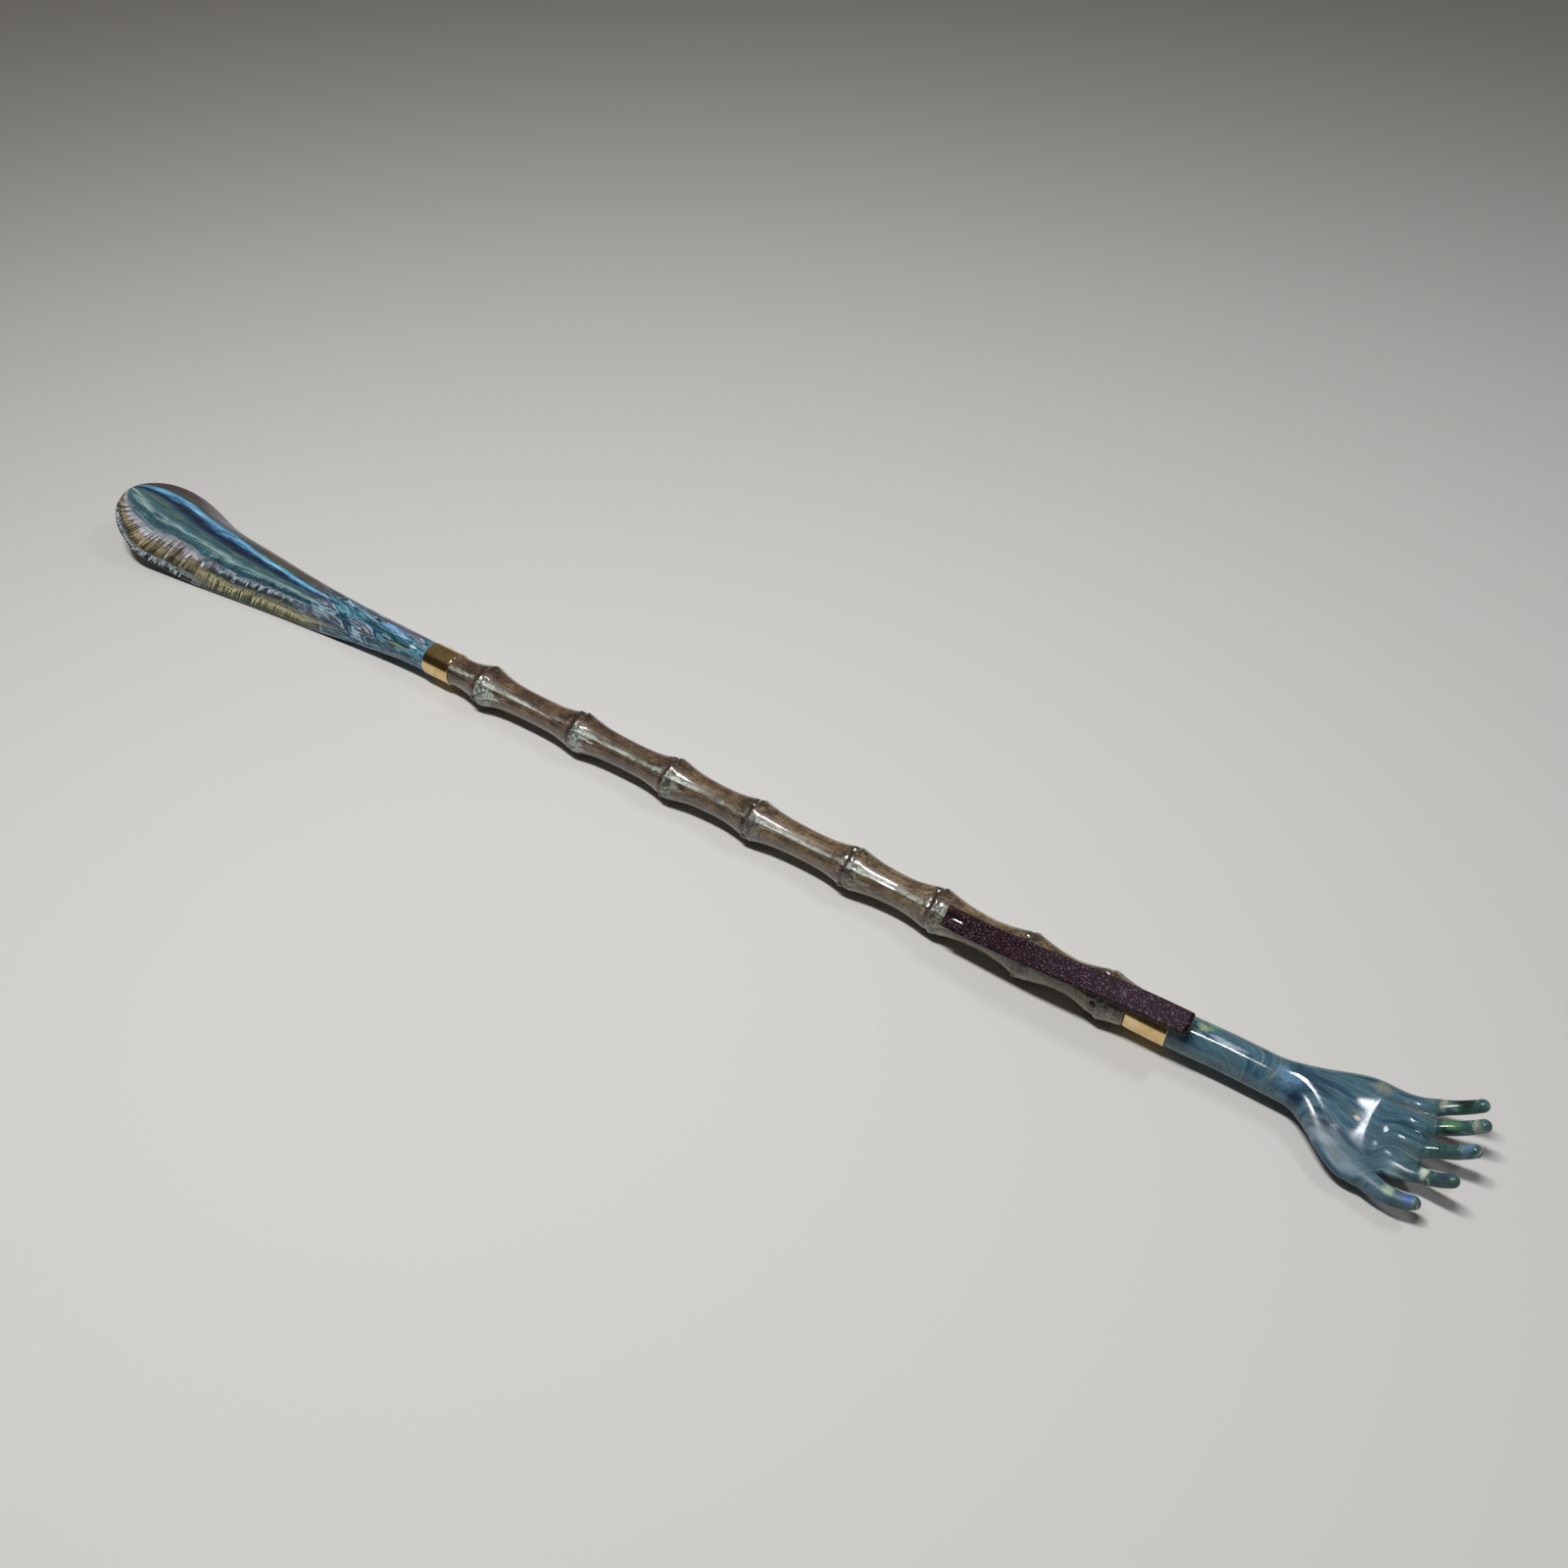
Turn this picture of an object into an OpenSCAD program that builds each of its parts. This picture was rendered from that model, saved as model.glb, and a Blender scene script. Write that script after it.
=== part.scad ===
// A long back scratcher with a shoe horn on its other end: a knotted bamboo handle, a marbled resin
// hand, a marbled resin shoe horn, two brass ferrules, and a leather hanging loop held by a staple.
// The long axis runs along X and the hand points to +X. The palm and the back of the horn face +Z.
// The origin is the middle of the underside: the knots and the horn's two edges rest on Z = 0.

/* [Handle] */
// Length of bamboo that shows between the two ferrules
handle_len = 298; // [285:1:320]
// Diameter of the bamboo in its waists, between the knots
waist_d = 12.2; // [11.6:0.1:13]
// Diameter of the largest knot
knot_d = 18; // [17:0.1:20]
// Length of a knot's flare on the side of the horn
flare_horn = 6.5; // [4:0.1:8]
// Length of a knot's flare on the side of the hand
flare_hand = 8; // [5:0.1:9]

/* [Ferrules] */
// Length of a ferrule
ferrule_len = 14; // [11:0.5:20]
// Outer diameter of a ferrule
ferrule_d = 13.7; // [13:0.1:15]
// Wall of a ferrule
ferrule_wall = 0.6; // [0.4:0.05:1]
// Room for glue between a ferrule and what it holds
glue_gap = 0.05; // [0.02:0.01:0.1]

/* [Studs] */
// Diameter of the steel stud inside a ferrule
stud_d = 4; // [3:0.1:5]
// Length of a stud
stud_len = 30; // [24:1:36]
// Room round a stud in its bore
stud_gap = 0.1; // [0.05:0.01:0.2]

/* [Shoe horn] */
// Length of the horn that shows, from its ferrule to its tip
horn_len = 195; // [180:1:215]
// Width of the horn at its widest
horn_w = 46; // [42:0.5:52]
// Diameter of the horn's neck at its ferrule
neck_d = 12.7; // [12.7:0.1:13.2]
// Wall of the horn along its ridge
horn_wall = 2.4; // [2:0.1:3]
// Wall of the horn at its edges
horn_edge = 1.6; // [1.2:0.1:2.2]
// Rise of the horn's ridge from its neck to its tip
ridge_rise = 5; // [3:0.1:7]
// Upturn of the tip beyond that
lip_rise = 1.8; // [0:0.1:4]

/* [Hand] */
// Length of the hand that shows, from its ferrule to the longest finger
hand_len = 91.6; // [86:0.1:98]
// Diameter of the forearm
arm_d = 12.8; // [11.8:0.1:13]
// Width of the palm over the root of the thumb
palm_w = 38.5; // [36:0.5:42]
// Depth of the palm's cup
palm_cup = 2.4; // [1.5:0.1:5]
// Diameter of a finger where it leaves the palm
finger_d = 5; // [4.6:0.1:5.6]
// Diameter of a fingertip
fingertip_d = 3.4; // [3:0.1:4.2]

/* [Strap] */
// Width of the leather strap
strap_w = 7.6; // [6.6:0.1:9]
// Thickness of one layer of leather
strap_t = 1.2; // [0.9:0.05:1.5]
// Length of the pressed end that the staple holds
tab_len = 9.6; // [9:0.1:12]
// Length of the free loop, from the pressed end to the fold
loop_len = 75.4; // [68:0.1:82]
// Gap between the loop's two layers
layer_gap = 0.3; // [0.2:0.05:0.6]
// Turn of the strap round the handle, from straight up towards the thumb's side
strap_turn = 35; // [20:1:45]
// Room between the free loop and the knots under it
loop_gap = 0.35; // [0.3:0.05:1]

/* [Staple] */
// Diameter of the staple's wire
wire_d = 0.9; // [0.6:0.05:1.2]
// Length of the staple's crown over its legs
crown_len = 5.2; // [4.6:0.1:6]
// Depth of the staple's legs in the bamboo
leg_grip = 4.5; // [3:0.1:5]
// Room round a leg in its holes
leg_gap = 0.05; // [0.02:0.01:0.1]

/* [Hidden] */
$fn = 64;

overall_len = horn_len + handle_len + hand_len + 2 * ferrule_len;
horn_end = horn_len - overall_len / 2;
handle_start = horn_end + ferrule_len;
handle_end = handle_start + handle_len;
hand_start = handle_end + ferrule_len;
axis_h = knot_d / 2;
ferrule_bore = ferrule_d - 2 * ferrule_wall;
spigot_d = ferrule_bore - 2 * glue_gap;
spigot_len = ferrule_len / 2;
stud_bore = stud_d + 2 * stud_gap;
stud_reach = stud_len / 2 + stud_gap;
// How far a round spigot runs on inside the shape that it belongs to
spigot_root = 1;

// The knots, as shares of the handle's length from the horn's end, and how much thinner each one is
knot_share = [0.059, 0.225, 0.379, 0.507, 0.648, 0.762, 0.876, 0.970];
knot_less = [0, 1.1, 0.9, 1.4, 1.6, 0.8, 0.6, 0];
knot_count = len(knot_share);
flare_power = 1.25;
// Diameter of the bamboo where it meets a ferrule
ferrule_step = 0.4;
handle_end_d = ferrule_d - ferrule_step;
stretch_steps = 14;

// Where the strap lies along the handle: its end sits just past the sixth knot
strap_knot = 5;
tab_from_knot = 5.6;
tab_start = knot_at(strap_knot) + tab_from_knot;
hinge_x = tab_start + tab_len;
// Gap in the leather at the line where the loop bends up
hinge_gap = 0.1;
seat_gap = 0.1;
strap_stack = 2 * strap_t + layer_gap;
tab_r = bamboo_r(tab_start) + seat_gap;
fold_x = hinge_x + loop_len;
knot_a = knot_at(strap_knot + 1);
knot_b = knot_at(strap_knot + 2);
over_a = bamboo_r(knot_a) + loop_gap;
over_b = max(bamboo_r(knot_b) + 2 * loop_gap, over_a);
fold_r = over_b + (fold_x - knot_b) * (over_b - over_a) / (knot_b - knot_a);
leg_x = tab_start + (tab_len - crown_len + wire_d) / 2;
leg_pitch = crown_len - wire_d;
crown_r = tab_r + strap_stack;
// The pressed slot in the leather that the crown sinks into
slot_room = 0.7;
slot_w = wire_d + slot_room;
// How far a cut runs on past the face that it opens
cut_over = 1;
small_fn = 32;

// Colours
resin_teal = [0.30, 0.44, 0.48];
brass = [0.85, 0.68, 0.36];
bamboo_brown = [0.46, 0.37, 0.27];
steel = [0.75, 0.75, 0.76];
leather_plum = [0.24, 0.15, 0.17];

function clamp01(a) = min(1, max(0, a));
// An S-shaped step from 0 to 1 as a goes from 0 to 1
function ease(a) = clamp01(a) * clamp01(a) * (3 - 2 * clamp01(a));
function mix(a, b, t) = a + (b - a) * t;

// Distance of a knot along the handle, and the bamboo's radius at a distance u along it
function knot_at(i) = knot_share[i] * handle_len;
function knot_swell(i, u) =
    let (d = u - knot_at(i), flare = d < 0 ? flare_horn : flare_hand)
    ((knot_d - knot_less[i]) / 2 - waist_r(u)) * exp(-pow(abs(d) / flare, flare_power));
function waist_r(u) =
    let (end_share = exp(-min(u, handle_len - u) / flare_horn))
    mix(waist_d, handle_end_d, end_share) / 2;
function bamboo_r(u) = waist_r(u) + max([for (i = [0:knot_count - 1]) knot_swell(i, u)]);
handle_breaks = [0, for (i = [0:knot_count - 1]) knot_at(i), handle_len];
handle_steps = [
    for (i = [0:knot_count], j = [0:stretch_steps - 1])
        mix(handle_breaks[i], handle_breaks[i + 1], j / stretch_steps),
    handle_len
];

// The horn's sections, at a distance s from its ferrule. Its edges come down to the floor at foot_at,
// and lift off it again from tip_drop_from on, where the arch gets flatter.
horn_side = 15;
foot_at = 75;
tip_drop_from = horn_len - 66;
tip_drop_to = horn_len - 5;
tip_drop = 9.3;
lip_len = 40;
// The tip's outline is a rounded arc over round_len, and it ends with a short flat
round_len = 31;
round_from = horn_len - round_len;
round_power = 1.8;
tip_flat = 0.08;
// The flare is wider than the horn gets, because the rounded tip cuts it short
flare_half = 0.61 * horn_w;
flare_curve = 1.75;
// The arch spans a half circle up to arch_from, and less of it towards the tip
arch_from = 100;
arch_len = 80;
arch_less = 35;
tip_wall = 0.75 * horn_wall;
// The trough starts as a scoop in the solid neck
scoop_from = 34;
scoop_to = 82;
belly_least = 0.2;
neck_r = neck_d / 2;
function lip(s) = lip_rise * pow(clamp01((s - horn_len + lip_len) / lip_len), 2);
function ridge_z(s) = neck_r + ridge_rise * s / horn_len + lip(s);
function edge_z(s) = -axis_h * ease(s / foot_at);
function arch_drop(s) =
    mix(ridge_z(min(s, tip_drop_from)) - edge_z(min(s, tip_drop_from)), tip_drop,
        ease((s - tip_drop_from) / (tip_drop_to - tip_drop_from)));
function flare_w(s) = neck_r + (flare_half - neck_r) * pow(s / horn_len, flare_curve);
function round_off(a) = pow(1 - pow(clamp01(a), round_power), 1 / round_power);
function tip_round(s) = max(round_off((s - round_from) / round_len), tip_flat);
function arch_angle(s) = 90 - arch_less * ease((s - arch_from) / arch_len);
function wall_at(s) = mix(horn_wall, tip_wall, s / horn_len);
function outer_point(s, a) =
    let (top = arch_angle(s))
    [flare_w(s) * sin(a) / sin(top), ridge_z(s) - arch_drop(s) * (1 - cos(a)) / (1 - cos(top))];
function trough_point(s, a) =
    let (top = arch_angle(s), wall = wall_at(s))
    [
        (flare_w(s) - horn_edge) * sin(a) / sin(top),
        ridge_z(s) - wall - (arch_drop(s) - wall) * (1 - cos(a)) / (1 - cos(top))
    ];
function belly_point(s, a) =
    let (low = -mix(neck_r, axis_h, ease(s / foot_at)), edge = edge_z(s))
    [flare_w(s) * sin(a), edge - max(edge - low, belly_least) * cos(a)];
function under_point(s, a) =
    let (m = ease((s - scoop_from) / (scoop_to - scoop_from)))
    mix(belly_point(s, a), trough_point(s, a), m);
function horn_ring(s) =
    let (
        limit = asin(clamp01(tip_round(s)) * sin(arch_angle(s))),
        n = horn_side
    )
    concat(
        [for (j = [0:n - 1]) let (p = outer_point(s, limit * (2 * j / (n - 1) - 1))) [-s, p[0], p[1]]],
        [for (j = [0:n - 1]) let (p = under_point(s, limit * (1 - (2 * j + 1) / n))) [-s, p[0], p[1]]]
    );
body_steps = 27;
tip_steps = 10;
horn_stations = [
    for (i = [0:body_steps - 1]) round_from * i / body_steps,
    for (i = [0:tip_steps]) mix(round_from, horn_len, sin(90 * i / tip_steps))
];

// The hand's sections, at a distance q from its ferrule, and its fingers' paths
palm_sides = 24;
palm_steps = 18;
far_wrist = 30;
near_wrist = 37.5;
palm_at = 61;
web_from = 63.5;
web_at = 70.5;
knuckle_at = hand_len - 13.5;
arm_r = arm_d / 2;
// The forearm's radius at its ferrule, where it covers the ferrule's bore, and the length it eases over
root_more = 0.15;
root_r = ferrule_bore / 2 + root_more;
root_len = 8;
// How far the forearm swings towards the side of the little finger, and the length it takes
arm_lean = 0.7;
lean_len = 20;
thumb_web = 10.6;
knuckle_wide = 1.6;
palm_low = 2.6;
knuckle_low = 0.7;
palm_thick = 5;
back_thick = 6.2;
knuckle_thick = 3.5;
knuckle_square = 0.66;
cup_from = 40;
cup_len = 16;
function arm_at(q) = mix(root_r, arm_r, ease(q / root_len));
function lean_at(q) = arm_lean * ease(q / lean_len);
function opening(q) = ease((q - far_wrist) / (palm_at - far_wrist));
function closing(q) = ease((q - palm_at) / (knuckle_at - palm_at));
// The palm's edge on the side of the little finger, and its edge on the side of the thumb
function far_edge(q) = mix(arm_at(q) + lean_at(q), palm_w / 2, opening(q)) + knuckle_wide * closing(q);
function near_edge(q) =
    mix(arm_at(q) - lean_at(q), palm_w / 2, ease((q - near_wrist) / (palm_at - near_wrist)))
        - (palm_w / 2 - thumb_web) * ease((q - web_from) / (web_at - web_from));
function palm_half(q) = (far_edge(q) + near_edge(q)) / 2;
function palm_side(q) = (far_edge(q) - near_edge(q)) / 2;
function palm_drop(q) = -palm_low * opening(q) - knuckle_low * closing(q);
function palm_top(q) = mix(mix(arm_at(q), palm_thick, opening(q)), knuckle_thick, closing(q));
function palm_back(q) = mix(mix(arm_at(q), back_thick, opening(q)), knuckle_thick, closing(q));
function cup_at(q) = palm_cup * ease((q - cup_from) / cup_len) * (1 - closing(q));
// A section is round on the forearm and gets squarer towards the knuckles
function squareness(q) = mix(1, knuckle_square, closing(q));
function bulge(a, power) = sign(a) * pow(abs(a), power);
function palm_ring(q) = [
    for (j = [0:palm_sides - 1])
        let (
            a = -360 * (j + 0.5) / palm_sides,
            up = max(sin(a), 0),
            lift = sin(a) > 0 ? palm_top(q) : palm_back(q)
        )
        [
            q,
            palm_side(q) - palm_half(q) * bulge(cos(a), squareness(q)),
            palm_drop(q) + lift * bulge(sin(a), squareness(q)) - cup_at(q) * up * up
        ]
];
palm_stations = [for (i = [0:palm_steps]) knuckle_at * i / palm_steps];

// Each finger runs from its root by its middle to its tip: distance from the ferrule, side and height
finger_root = knuckle_at - 3;
thumb_root = [54, -7, -3.6];
finger_paths = [
    [[finger_root, 17.2, -3], [80, 20.8, -2.2], [hand_len - 4.6, 22.9, 4.4]],
    [[finger_root, 10.8, -3.2], [82, 13.4, -4], [hand_len - 2.1, 15.3, 4.9]],
    [[finger_root, 3.2, -3.2], [82, 4.6, -4.4], [hand_len - fingertip_d / 2, 5.2, 4.9]],
    [[finger_root, -5.4, -3.3], [80.5, -6.8, -4.6], [hand_len - 4.6, -8.1, 4.6]],
    [thumb_root, [71, -19.9, -4], [hand_len - 11.2, -17.2, -0.8]]
];
finger_root_more = [0, 0, 0, 0, 2.6];
finger_sides = 10;
finger_steps = 8;
finger_taper = 0.8;
tip_angles = [30, 55, 75];
function bend(path, t) = mix(mix(path[0], path[1], t), mix(path[1], path[2], t), t);
function bend_way(path, t) = let (d = mix(path[1] - path[0], path[2] - path[1], t)) d / norm(d);
function finger_r(t, more) = mix((finger_d + more) / 2, fingertip_d / 2, pow(t, finger_taper));
function ring_about(centre, way, r, sides) =
    let (
        right = cross(way, [0, 0, 1]) / norm(cross(way, [0, 0, 1])),
        up = cross(right, way)
    )
    [for (j = [0:sides - 1]) let (a = -360 * j / sides) centre + r * (cos(a) * right + sin(a) * up)];
// A round cap over the tip, in ever smaller rings
function tip_rings(path, r) = [
    for (a = tip_angles)
        ring_about(path[2] + r * sin(a) * bend_way(path, 1), bend_way(path, 1), r * cos(a), finger_sides)
];
function finger_rings(path, more) = concat(
    [
        for (i = [0:finger_steps])
            ring_about(bend(path, i / finger_steps), bend_way(path, i / finger_steps),
                finger_r(i / finger_steps, more), finger_sides)
    ],
    tip_rings(path, fingertip_d / 2)
);

// A closed skin over rings of points that run clockwise, seen from behind the first ring
module loft(rings) {
    n = len(rings[0]);
    last = (len(rings) - 1) * n;
    sides = [
        for (i = [0:len(rings) - 2], j = [0:n - 1])
            let (a = i * n + j, b = i * n + (j + 1) % n)
            each [[a, b + n, b], [a, a + n, b + n]]
    ];
    caps = [[for (j = [0:n - 1]) j], [for (j = [n - 1:-1:0]) last + j]];
    polyhedron(points = [for (r = rings) each r], faces = concat(sides, caps));
}

// Puts a piece that was made along the axis at its place: x is where its own zero lies
module on_axis(x) {
    translate([x, 0, axis_h]) children();
}

// A round bar along X, from x0 to x1
module bar(x0, x1, d) {
    translate([x0, 0, 0]) rotate([0, 90, 0]) cylinder(h = x1 - x0, d = d);
}

// Puts a piece on the strap's side of the handle, with Z running out from the axis
module on_strap_side() {
    on_axis(handle_start) rotate([strap_turn, 0, 0]) children();
}

module staple_legs(from_r, to_r, d) {
    for (x = [leg_x, leg_x + leg_pitch])
        translate([x, 0, from_r]) cylinder(h = to_r - from_r, d = d, $fn = small_fn);
}

module shoehorn_blade() {
    color(resin_teal) on_axis(horn_end) difference() {
        union() {
            loft([for (s = horn_stations) horn_ring(s)]);
            bar(-spigot_root, spigot_len - glue_gap, spigot_d);
        }
        bar(spigot_len - stud_reach, spigot_len, stud_bore);
    }
}

module ferrule(x) {
    color(brass) on_axis(x) difference() {
        bar(0, ferrule_len, ferrule_d);
        bar(-cut_over, ferrule_len + cut_over, ferrule_bore);
    }
}

module stud(x) {
    color(steel) on_axis(x) bar(-stud_len / 2, stud_len / 2, stud_d);
}

module shoehorn_ferrule() {
    ferrule(horn_end);
}

module hand_ferrule() {
    ferrule(handle_end);
}

module shoehorn_stud() {
    stud(horn_end + spigot_len);
}

module hand_stud() {
    stud(handle_end + spigot_len);
}

module bamboo_handle() {
    outline = concat([[0, 0]], [for (u = handle_steps) [bamboo_r(u), u]], [[0, handle_len]]);
    color(bamboo_brown) difference() {
        on_axis(handle_start) union() {
            rotate([0, 90, 0]) rotate_extrude() polygon(outline);
            bar(glue_gap - spigot_len, spigot_root, spigot_d);
            bar(handle_len - spigot_root, handle_len + spigot_len - glue_gap, spigot_d);
        }
        on_axis(handle_start) bar(-spigot_len, stud_reach - spigot_len, stud_bore);
        on_axis(handle_end) bar(spigot_len - stud_reach, spigot_len, stud_bore);
        on_strap_side() staple_legs(tab_r - leg_grip - leg_gap, crown_r, wire_d + 2 * leg_gap);
    }
}

module scratcher_hand() {
    color(resin_teal) on_axis(hand_start) difference() {
        union() {
            loft([for (q = palm_stations) palm_ring(q)]);
            for (i = [0:len(finger_paths) - 1])
                loft(finger_rings(finger_paths[i], finger_root_more[i]));
            bar(glue_gap - spigot_len, spigot_root, spigot_d);
        }
        bar(-spigot_len, stud_reach - spigot_len, stud_bore);
    }
}

module strap_tab() {
    color(leather_plum) on_strap_side() difference() {
        translate([tab_start, -strap_w / 2, tab_r])
            cube([tab_len - hinge_gap, strap_w, strap_stack]);
        staple_legs(tab_r - cut_over, crown_r + cut_over, wire_d + 2 * leg_gap);
        staple_legs(crown_r - wire_d, crown_r + cut_over, slot_w);
        translate([leg_x, -slot_w / 2, crown_r - wire_d])
            cube([leg_pitch, slot_w, wire_d + cut_over]);
    }
}

// The loop seen from the side: its lower layer, the fold and its upper layer, with the gap between them
function loop_way(lift) = [
    [hinge_x, tab_r + lift], [knot_a, over_a + lift], [fold_x - strap_stack / 2, fold_r + lift]
];
function backwards(v) = [for (i = [len(v) - 1:-1:0]) v[i]];
module loop_outline() {
    bow = [fold_x - strap_stack / 2, fold_r + strap_stack / 2];
    difference() {
        union() {
            polygon(concat(loop_way(0), backwards(loop_way(strap_stack))));
            translate(bow) circle(d = strap_stack);
        }
        polygon(concat(
            [[hinge_x - cut_over, tab_r + strap_t], [hinge_x - cut_over, tab_r + strap_t + layer_gap]],
            loop_way(strap_t + layer_gap), backwards(loop_way(strap_t))
        ));
        translate(bow) circle(d = layer_gap, $fn = small_fn);
    }
}

module strap_loop() {
    color(leather_plum) on_strap_side()
        translate([0, strap_w / 2, 0]) rotate([90, 0, 0]) linear_extrude(strap_w) loop_outline();
}

module strap_staple() {
    color(steel) on_strap_side() union() {
        staple_legs(tab_r - leg_grip, crown_r - wire_d / 2, wire_d);
        for (x = [leg_x, leg_x + leg_pitch])
            translate([x, 0, crown_r - wire_d / 2]) sphere(d = wire_d, $fn = small_fn);
        translate([0, 0, crown_r - wire_d / 2]) bar(leg_x, leg_x + leg_pitch, wire_d);
    }
}

shoehorn_blade();
shoehorn_ferrule();
shoehorn_stud();
bamboo_handle();
hand_stud();
hand_ferrule();
scratcher_hand();
strap_tab();
strap_loop();
strap_staple();
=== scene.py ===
# The looks of a long back scratcher with a shoe horn on its other end: marbled resin hand and horn,
# a lacquered bamboo handle with eight knots, two brass ferrules and a stapled leather hanging loop.
# Sizes below are in millimetres and become metres when a mesh is made. They repeat the part's source.
import math
from functools import partial

import bmesh
import bpy
import numpy as np
from mathutils import Matrix, Vector


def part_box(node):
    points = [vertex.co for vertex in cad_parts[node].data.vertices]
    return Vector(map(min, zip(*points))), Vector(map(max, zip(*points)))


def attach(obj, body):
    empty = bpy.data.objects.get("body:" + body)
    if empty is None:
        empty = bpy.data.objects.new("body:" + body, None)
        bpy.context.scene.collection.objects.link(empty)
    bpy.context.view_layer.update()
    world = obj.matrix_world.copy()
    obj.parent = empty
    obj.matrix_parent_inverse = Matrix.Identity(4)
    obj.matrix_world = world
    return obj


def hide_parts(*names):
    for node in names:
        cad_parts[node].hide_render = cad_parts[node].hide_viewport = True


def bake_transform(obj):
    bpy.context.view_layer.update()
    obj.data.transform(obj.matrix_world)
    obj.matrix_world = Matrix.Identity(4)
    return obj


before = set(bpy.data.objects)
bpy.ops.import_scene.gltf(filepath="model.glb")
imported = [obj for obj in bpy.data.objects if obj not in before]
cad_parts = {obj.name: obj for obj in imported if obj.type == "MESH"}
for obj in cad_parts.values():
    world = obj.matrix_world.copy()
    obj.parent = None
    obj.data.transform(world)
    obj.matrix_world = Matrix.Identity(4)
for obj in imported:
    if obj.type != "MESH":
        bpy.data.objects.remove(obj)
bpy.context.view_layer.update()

MM = 0.001

# Places along the handle, read from the frame's ferrules
HORN_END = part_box("shoehorn_ferrule")[0].x / MM
HANDLE_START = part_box("shoehorn_ferrule")[1].x / MM
HANDLE_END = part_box("hand_ferrule")[0].x / MM
HAND_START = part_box("hand_ferrule")[1].x / MM
AXIS_H = (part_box("hand_ferrule")[0].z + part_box("hand_ferrule")[1].z) / 2 / MM

HORN_LEN = 195
HORN_W = 46
NECK_R = 6.35
HORN_WALL = 2.4
HORN_EDGE = 1.6
RIDGE_RISE = 5
LIP_RISE = 1.8
LIP_LEN = 40
FOOT_AT = 75
TIP_DROP_FROM = HORN_LEN - 66
TIP_DROP_TO = HORN_LEN - 5
TIP_DROP = 9.3
ROUND_LEN = 31
ROUND_FROM = HORN_LEN - ROUND_LEN
ROUND_POWER = 1.8
TIP_FLAT = 0.08
FLARE_HALF = 0.61 * HORN_W
FLARE_CURVE = 1.75
SPIGOT_R = 6.2
SPIGOT_LEN = 6.95
BORE_R = 2.1
BORE_DEPTH = 8.1
# Where the round neck opens to a trough, and where the arch gets flatter and by how many degrees
TROUGH_FROM = 34
TROUGH_LEN = 48
FLATTER_FROM = 100
FLATTER_LEN = 80
FLATTER_BY = 35
TIP_WALL_SHARE = 0.75
LEAST_BELLY = 0.2
HORN_SPOTS = 33
HORN_BODY_RINGS = 84
HORN_TIP_RINGS = 26
BORE_POINT_R = 0.02

HANDLE_LEN = HANDLE_END - HANDLE_START
WAIST_R = 6.1
KNOT_R = 9
HANDLE_END_R = 6.65
FLARE_HORN = 6.5
FLARE_HAND = 8
FLARE_POWER = 1.25
KNOT_SHARE = (0.059, 0.225, 0.379, 0.507, 0.648, 0.762, 0.876, 0.970)
KNOT_LESS = (0, 0.55, 0.45, 0.7, 0.8, 0.4, 0.3, 0)

FERRULE_R = 6.85
FERRULE_BORE_R = 6.25

STRAP_W = 7.6
STRAP_T = 1.2
LAYER_GAP = 0.3
WIRE_R = 0.45


def linear(hex_colour):
    """A linear RGBA colour from an sRGB hex value."""
    parts = [int(hex_colour[i : i + 2], 16) / 255 for i in (0, 2, 4)]
    return (*(c / 12.92 if c <= 0.04045 else ((c + 0.055) / 1.055) ** 2.4 for c in parts), 1)


def add(tree, kind, inputs=(), out=0, **settings):
    """Adds one node with its settings and gives one of its outputs, or the node where out is None.

    An input is a constant or the socket that it is linked to, in order or by its key. A shader node's
    kind needs no prefix.
    """
    node = tree.nodes.new(kind if "Node" in kind else "ShaderNode" + kind)
    for key, value in settings.items():
        setattr(node, key, value)
    for key, value in inputs.items() if isinstance(inputs, dict) else enumerate(inputs):
        if isinstance(value, bpy.types.NodeSocket):
            tree.links.new(value, node.inputs[key])
        else:
            node.inputs[key].default_value = value
    return node if out is None else node.outputs[out]


def ease(a):
    a = np.clip(a, 0, 1)
    return a * a * (3 - 2 * a)


def mix(a, b, t):
    return a + (b - a) * t


def bands(ramp_node, stops):
    """Sets a colour ramp's stops, hex colours by their place from 0 to 1, and gives its output."""
    ramp = ramp_node.color_ramp
    while len(ramp.elements) > 1:
        ramp.elements.remove(ramp.elements[-1])
    for i, (place, colour) in enumerate(stops.items()):
        element = ramp.elements[0] if i == 0 else ramp.elements.new(place)
        element.position = place
        element.color = linear(colour)
    return ramp_node.outputs["Color"]


def drawn_curve(curve_node, spots):
    """Sets a float curve's points and gives its output."""
    points = curve_node.mapping.curves[0].points
    points[0].location = spots[0]
    for spot in spots[1:-1]:
        points.new(*spot)
    points[-1].location = spots[-1]
    curve_node.mapping.update()
    return curve_node.outputs[0]


def placed(name, data):
    """An object of a mesh, a light or a camera, in the scene."""
    obj = bpy.data.objects.new(name, data)
    bpy.context.scene.collection.objects.link(obj)
    return obj


def piece(name, points, faces, material):
    """A smooth mesh piece from points in millimetres, with its faces turned outwards."""
    mesh = bpy.data.meshes.new(name)
    mesh.from_pydata((np.asarray(points, float) * MM).tolist(), [], faces)
    made = bmesh.new()
    made.from_mesh(mesh)
    bmesh.ops.recalc_face_normals(made, faces=made.faces)
    made.to_mesh(mesh)
    made.free()
    mesh.polygons.foreach_set("use_smooth", [True] * len(mesh.polygons))
    mesh.materials.append(material)
    return placed(name, mesh)


def ring_faces(rings, sides, closed=False):
    """Quads over a stack of rings; closed joins the last ring to the first."""
    faces = []
    for i in range(rings if closed else rings - 1):
        k = (i + 1) % rings
        for j in range(sides):
            n = (j + 1) % sides
            faces.append((i * sides + j, i * sides + n, k * sides + n, k * sides + j))
    return faces


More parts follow.
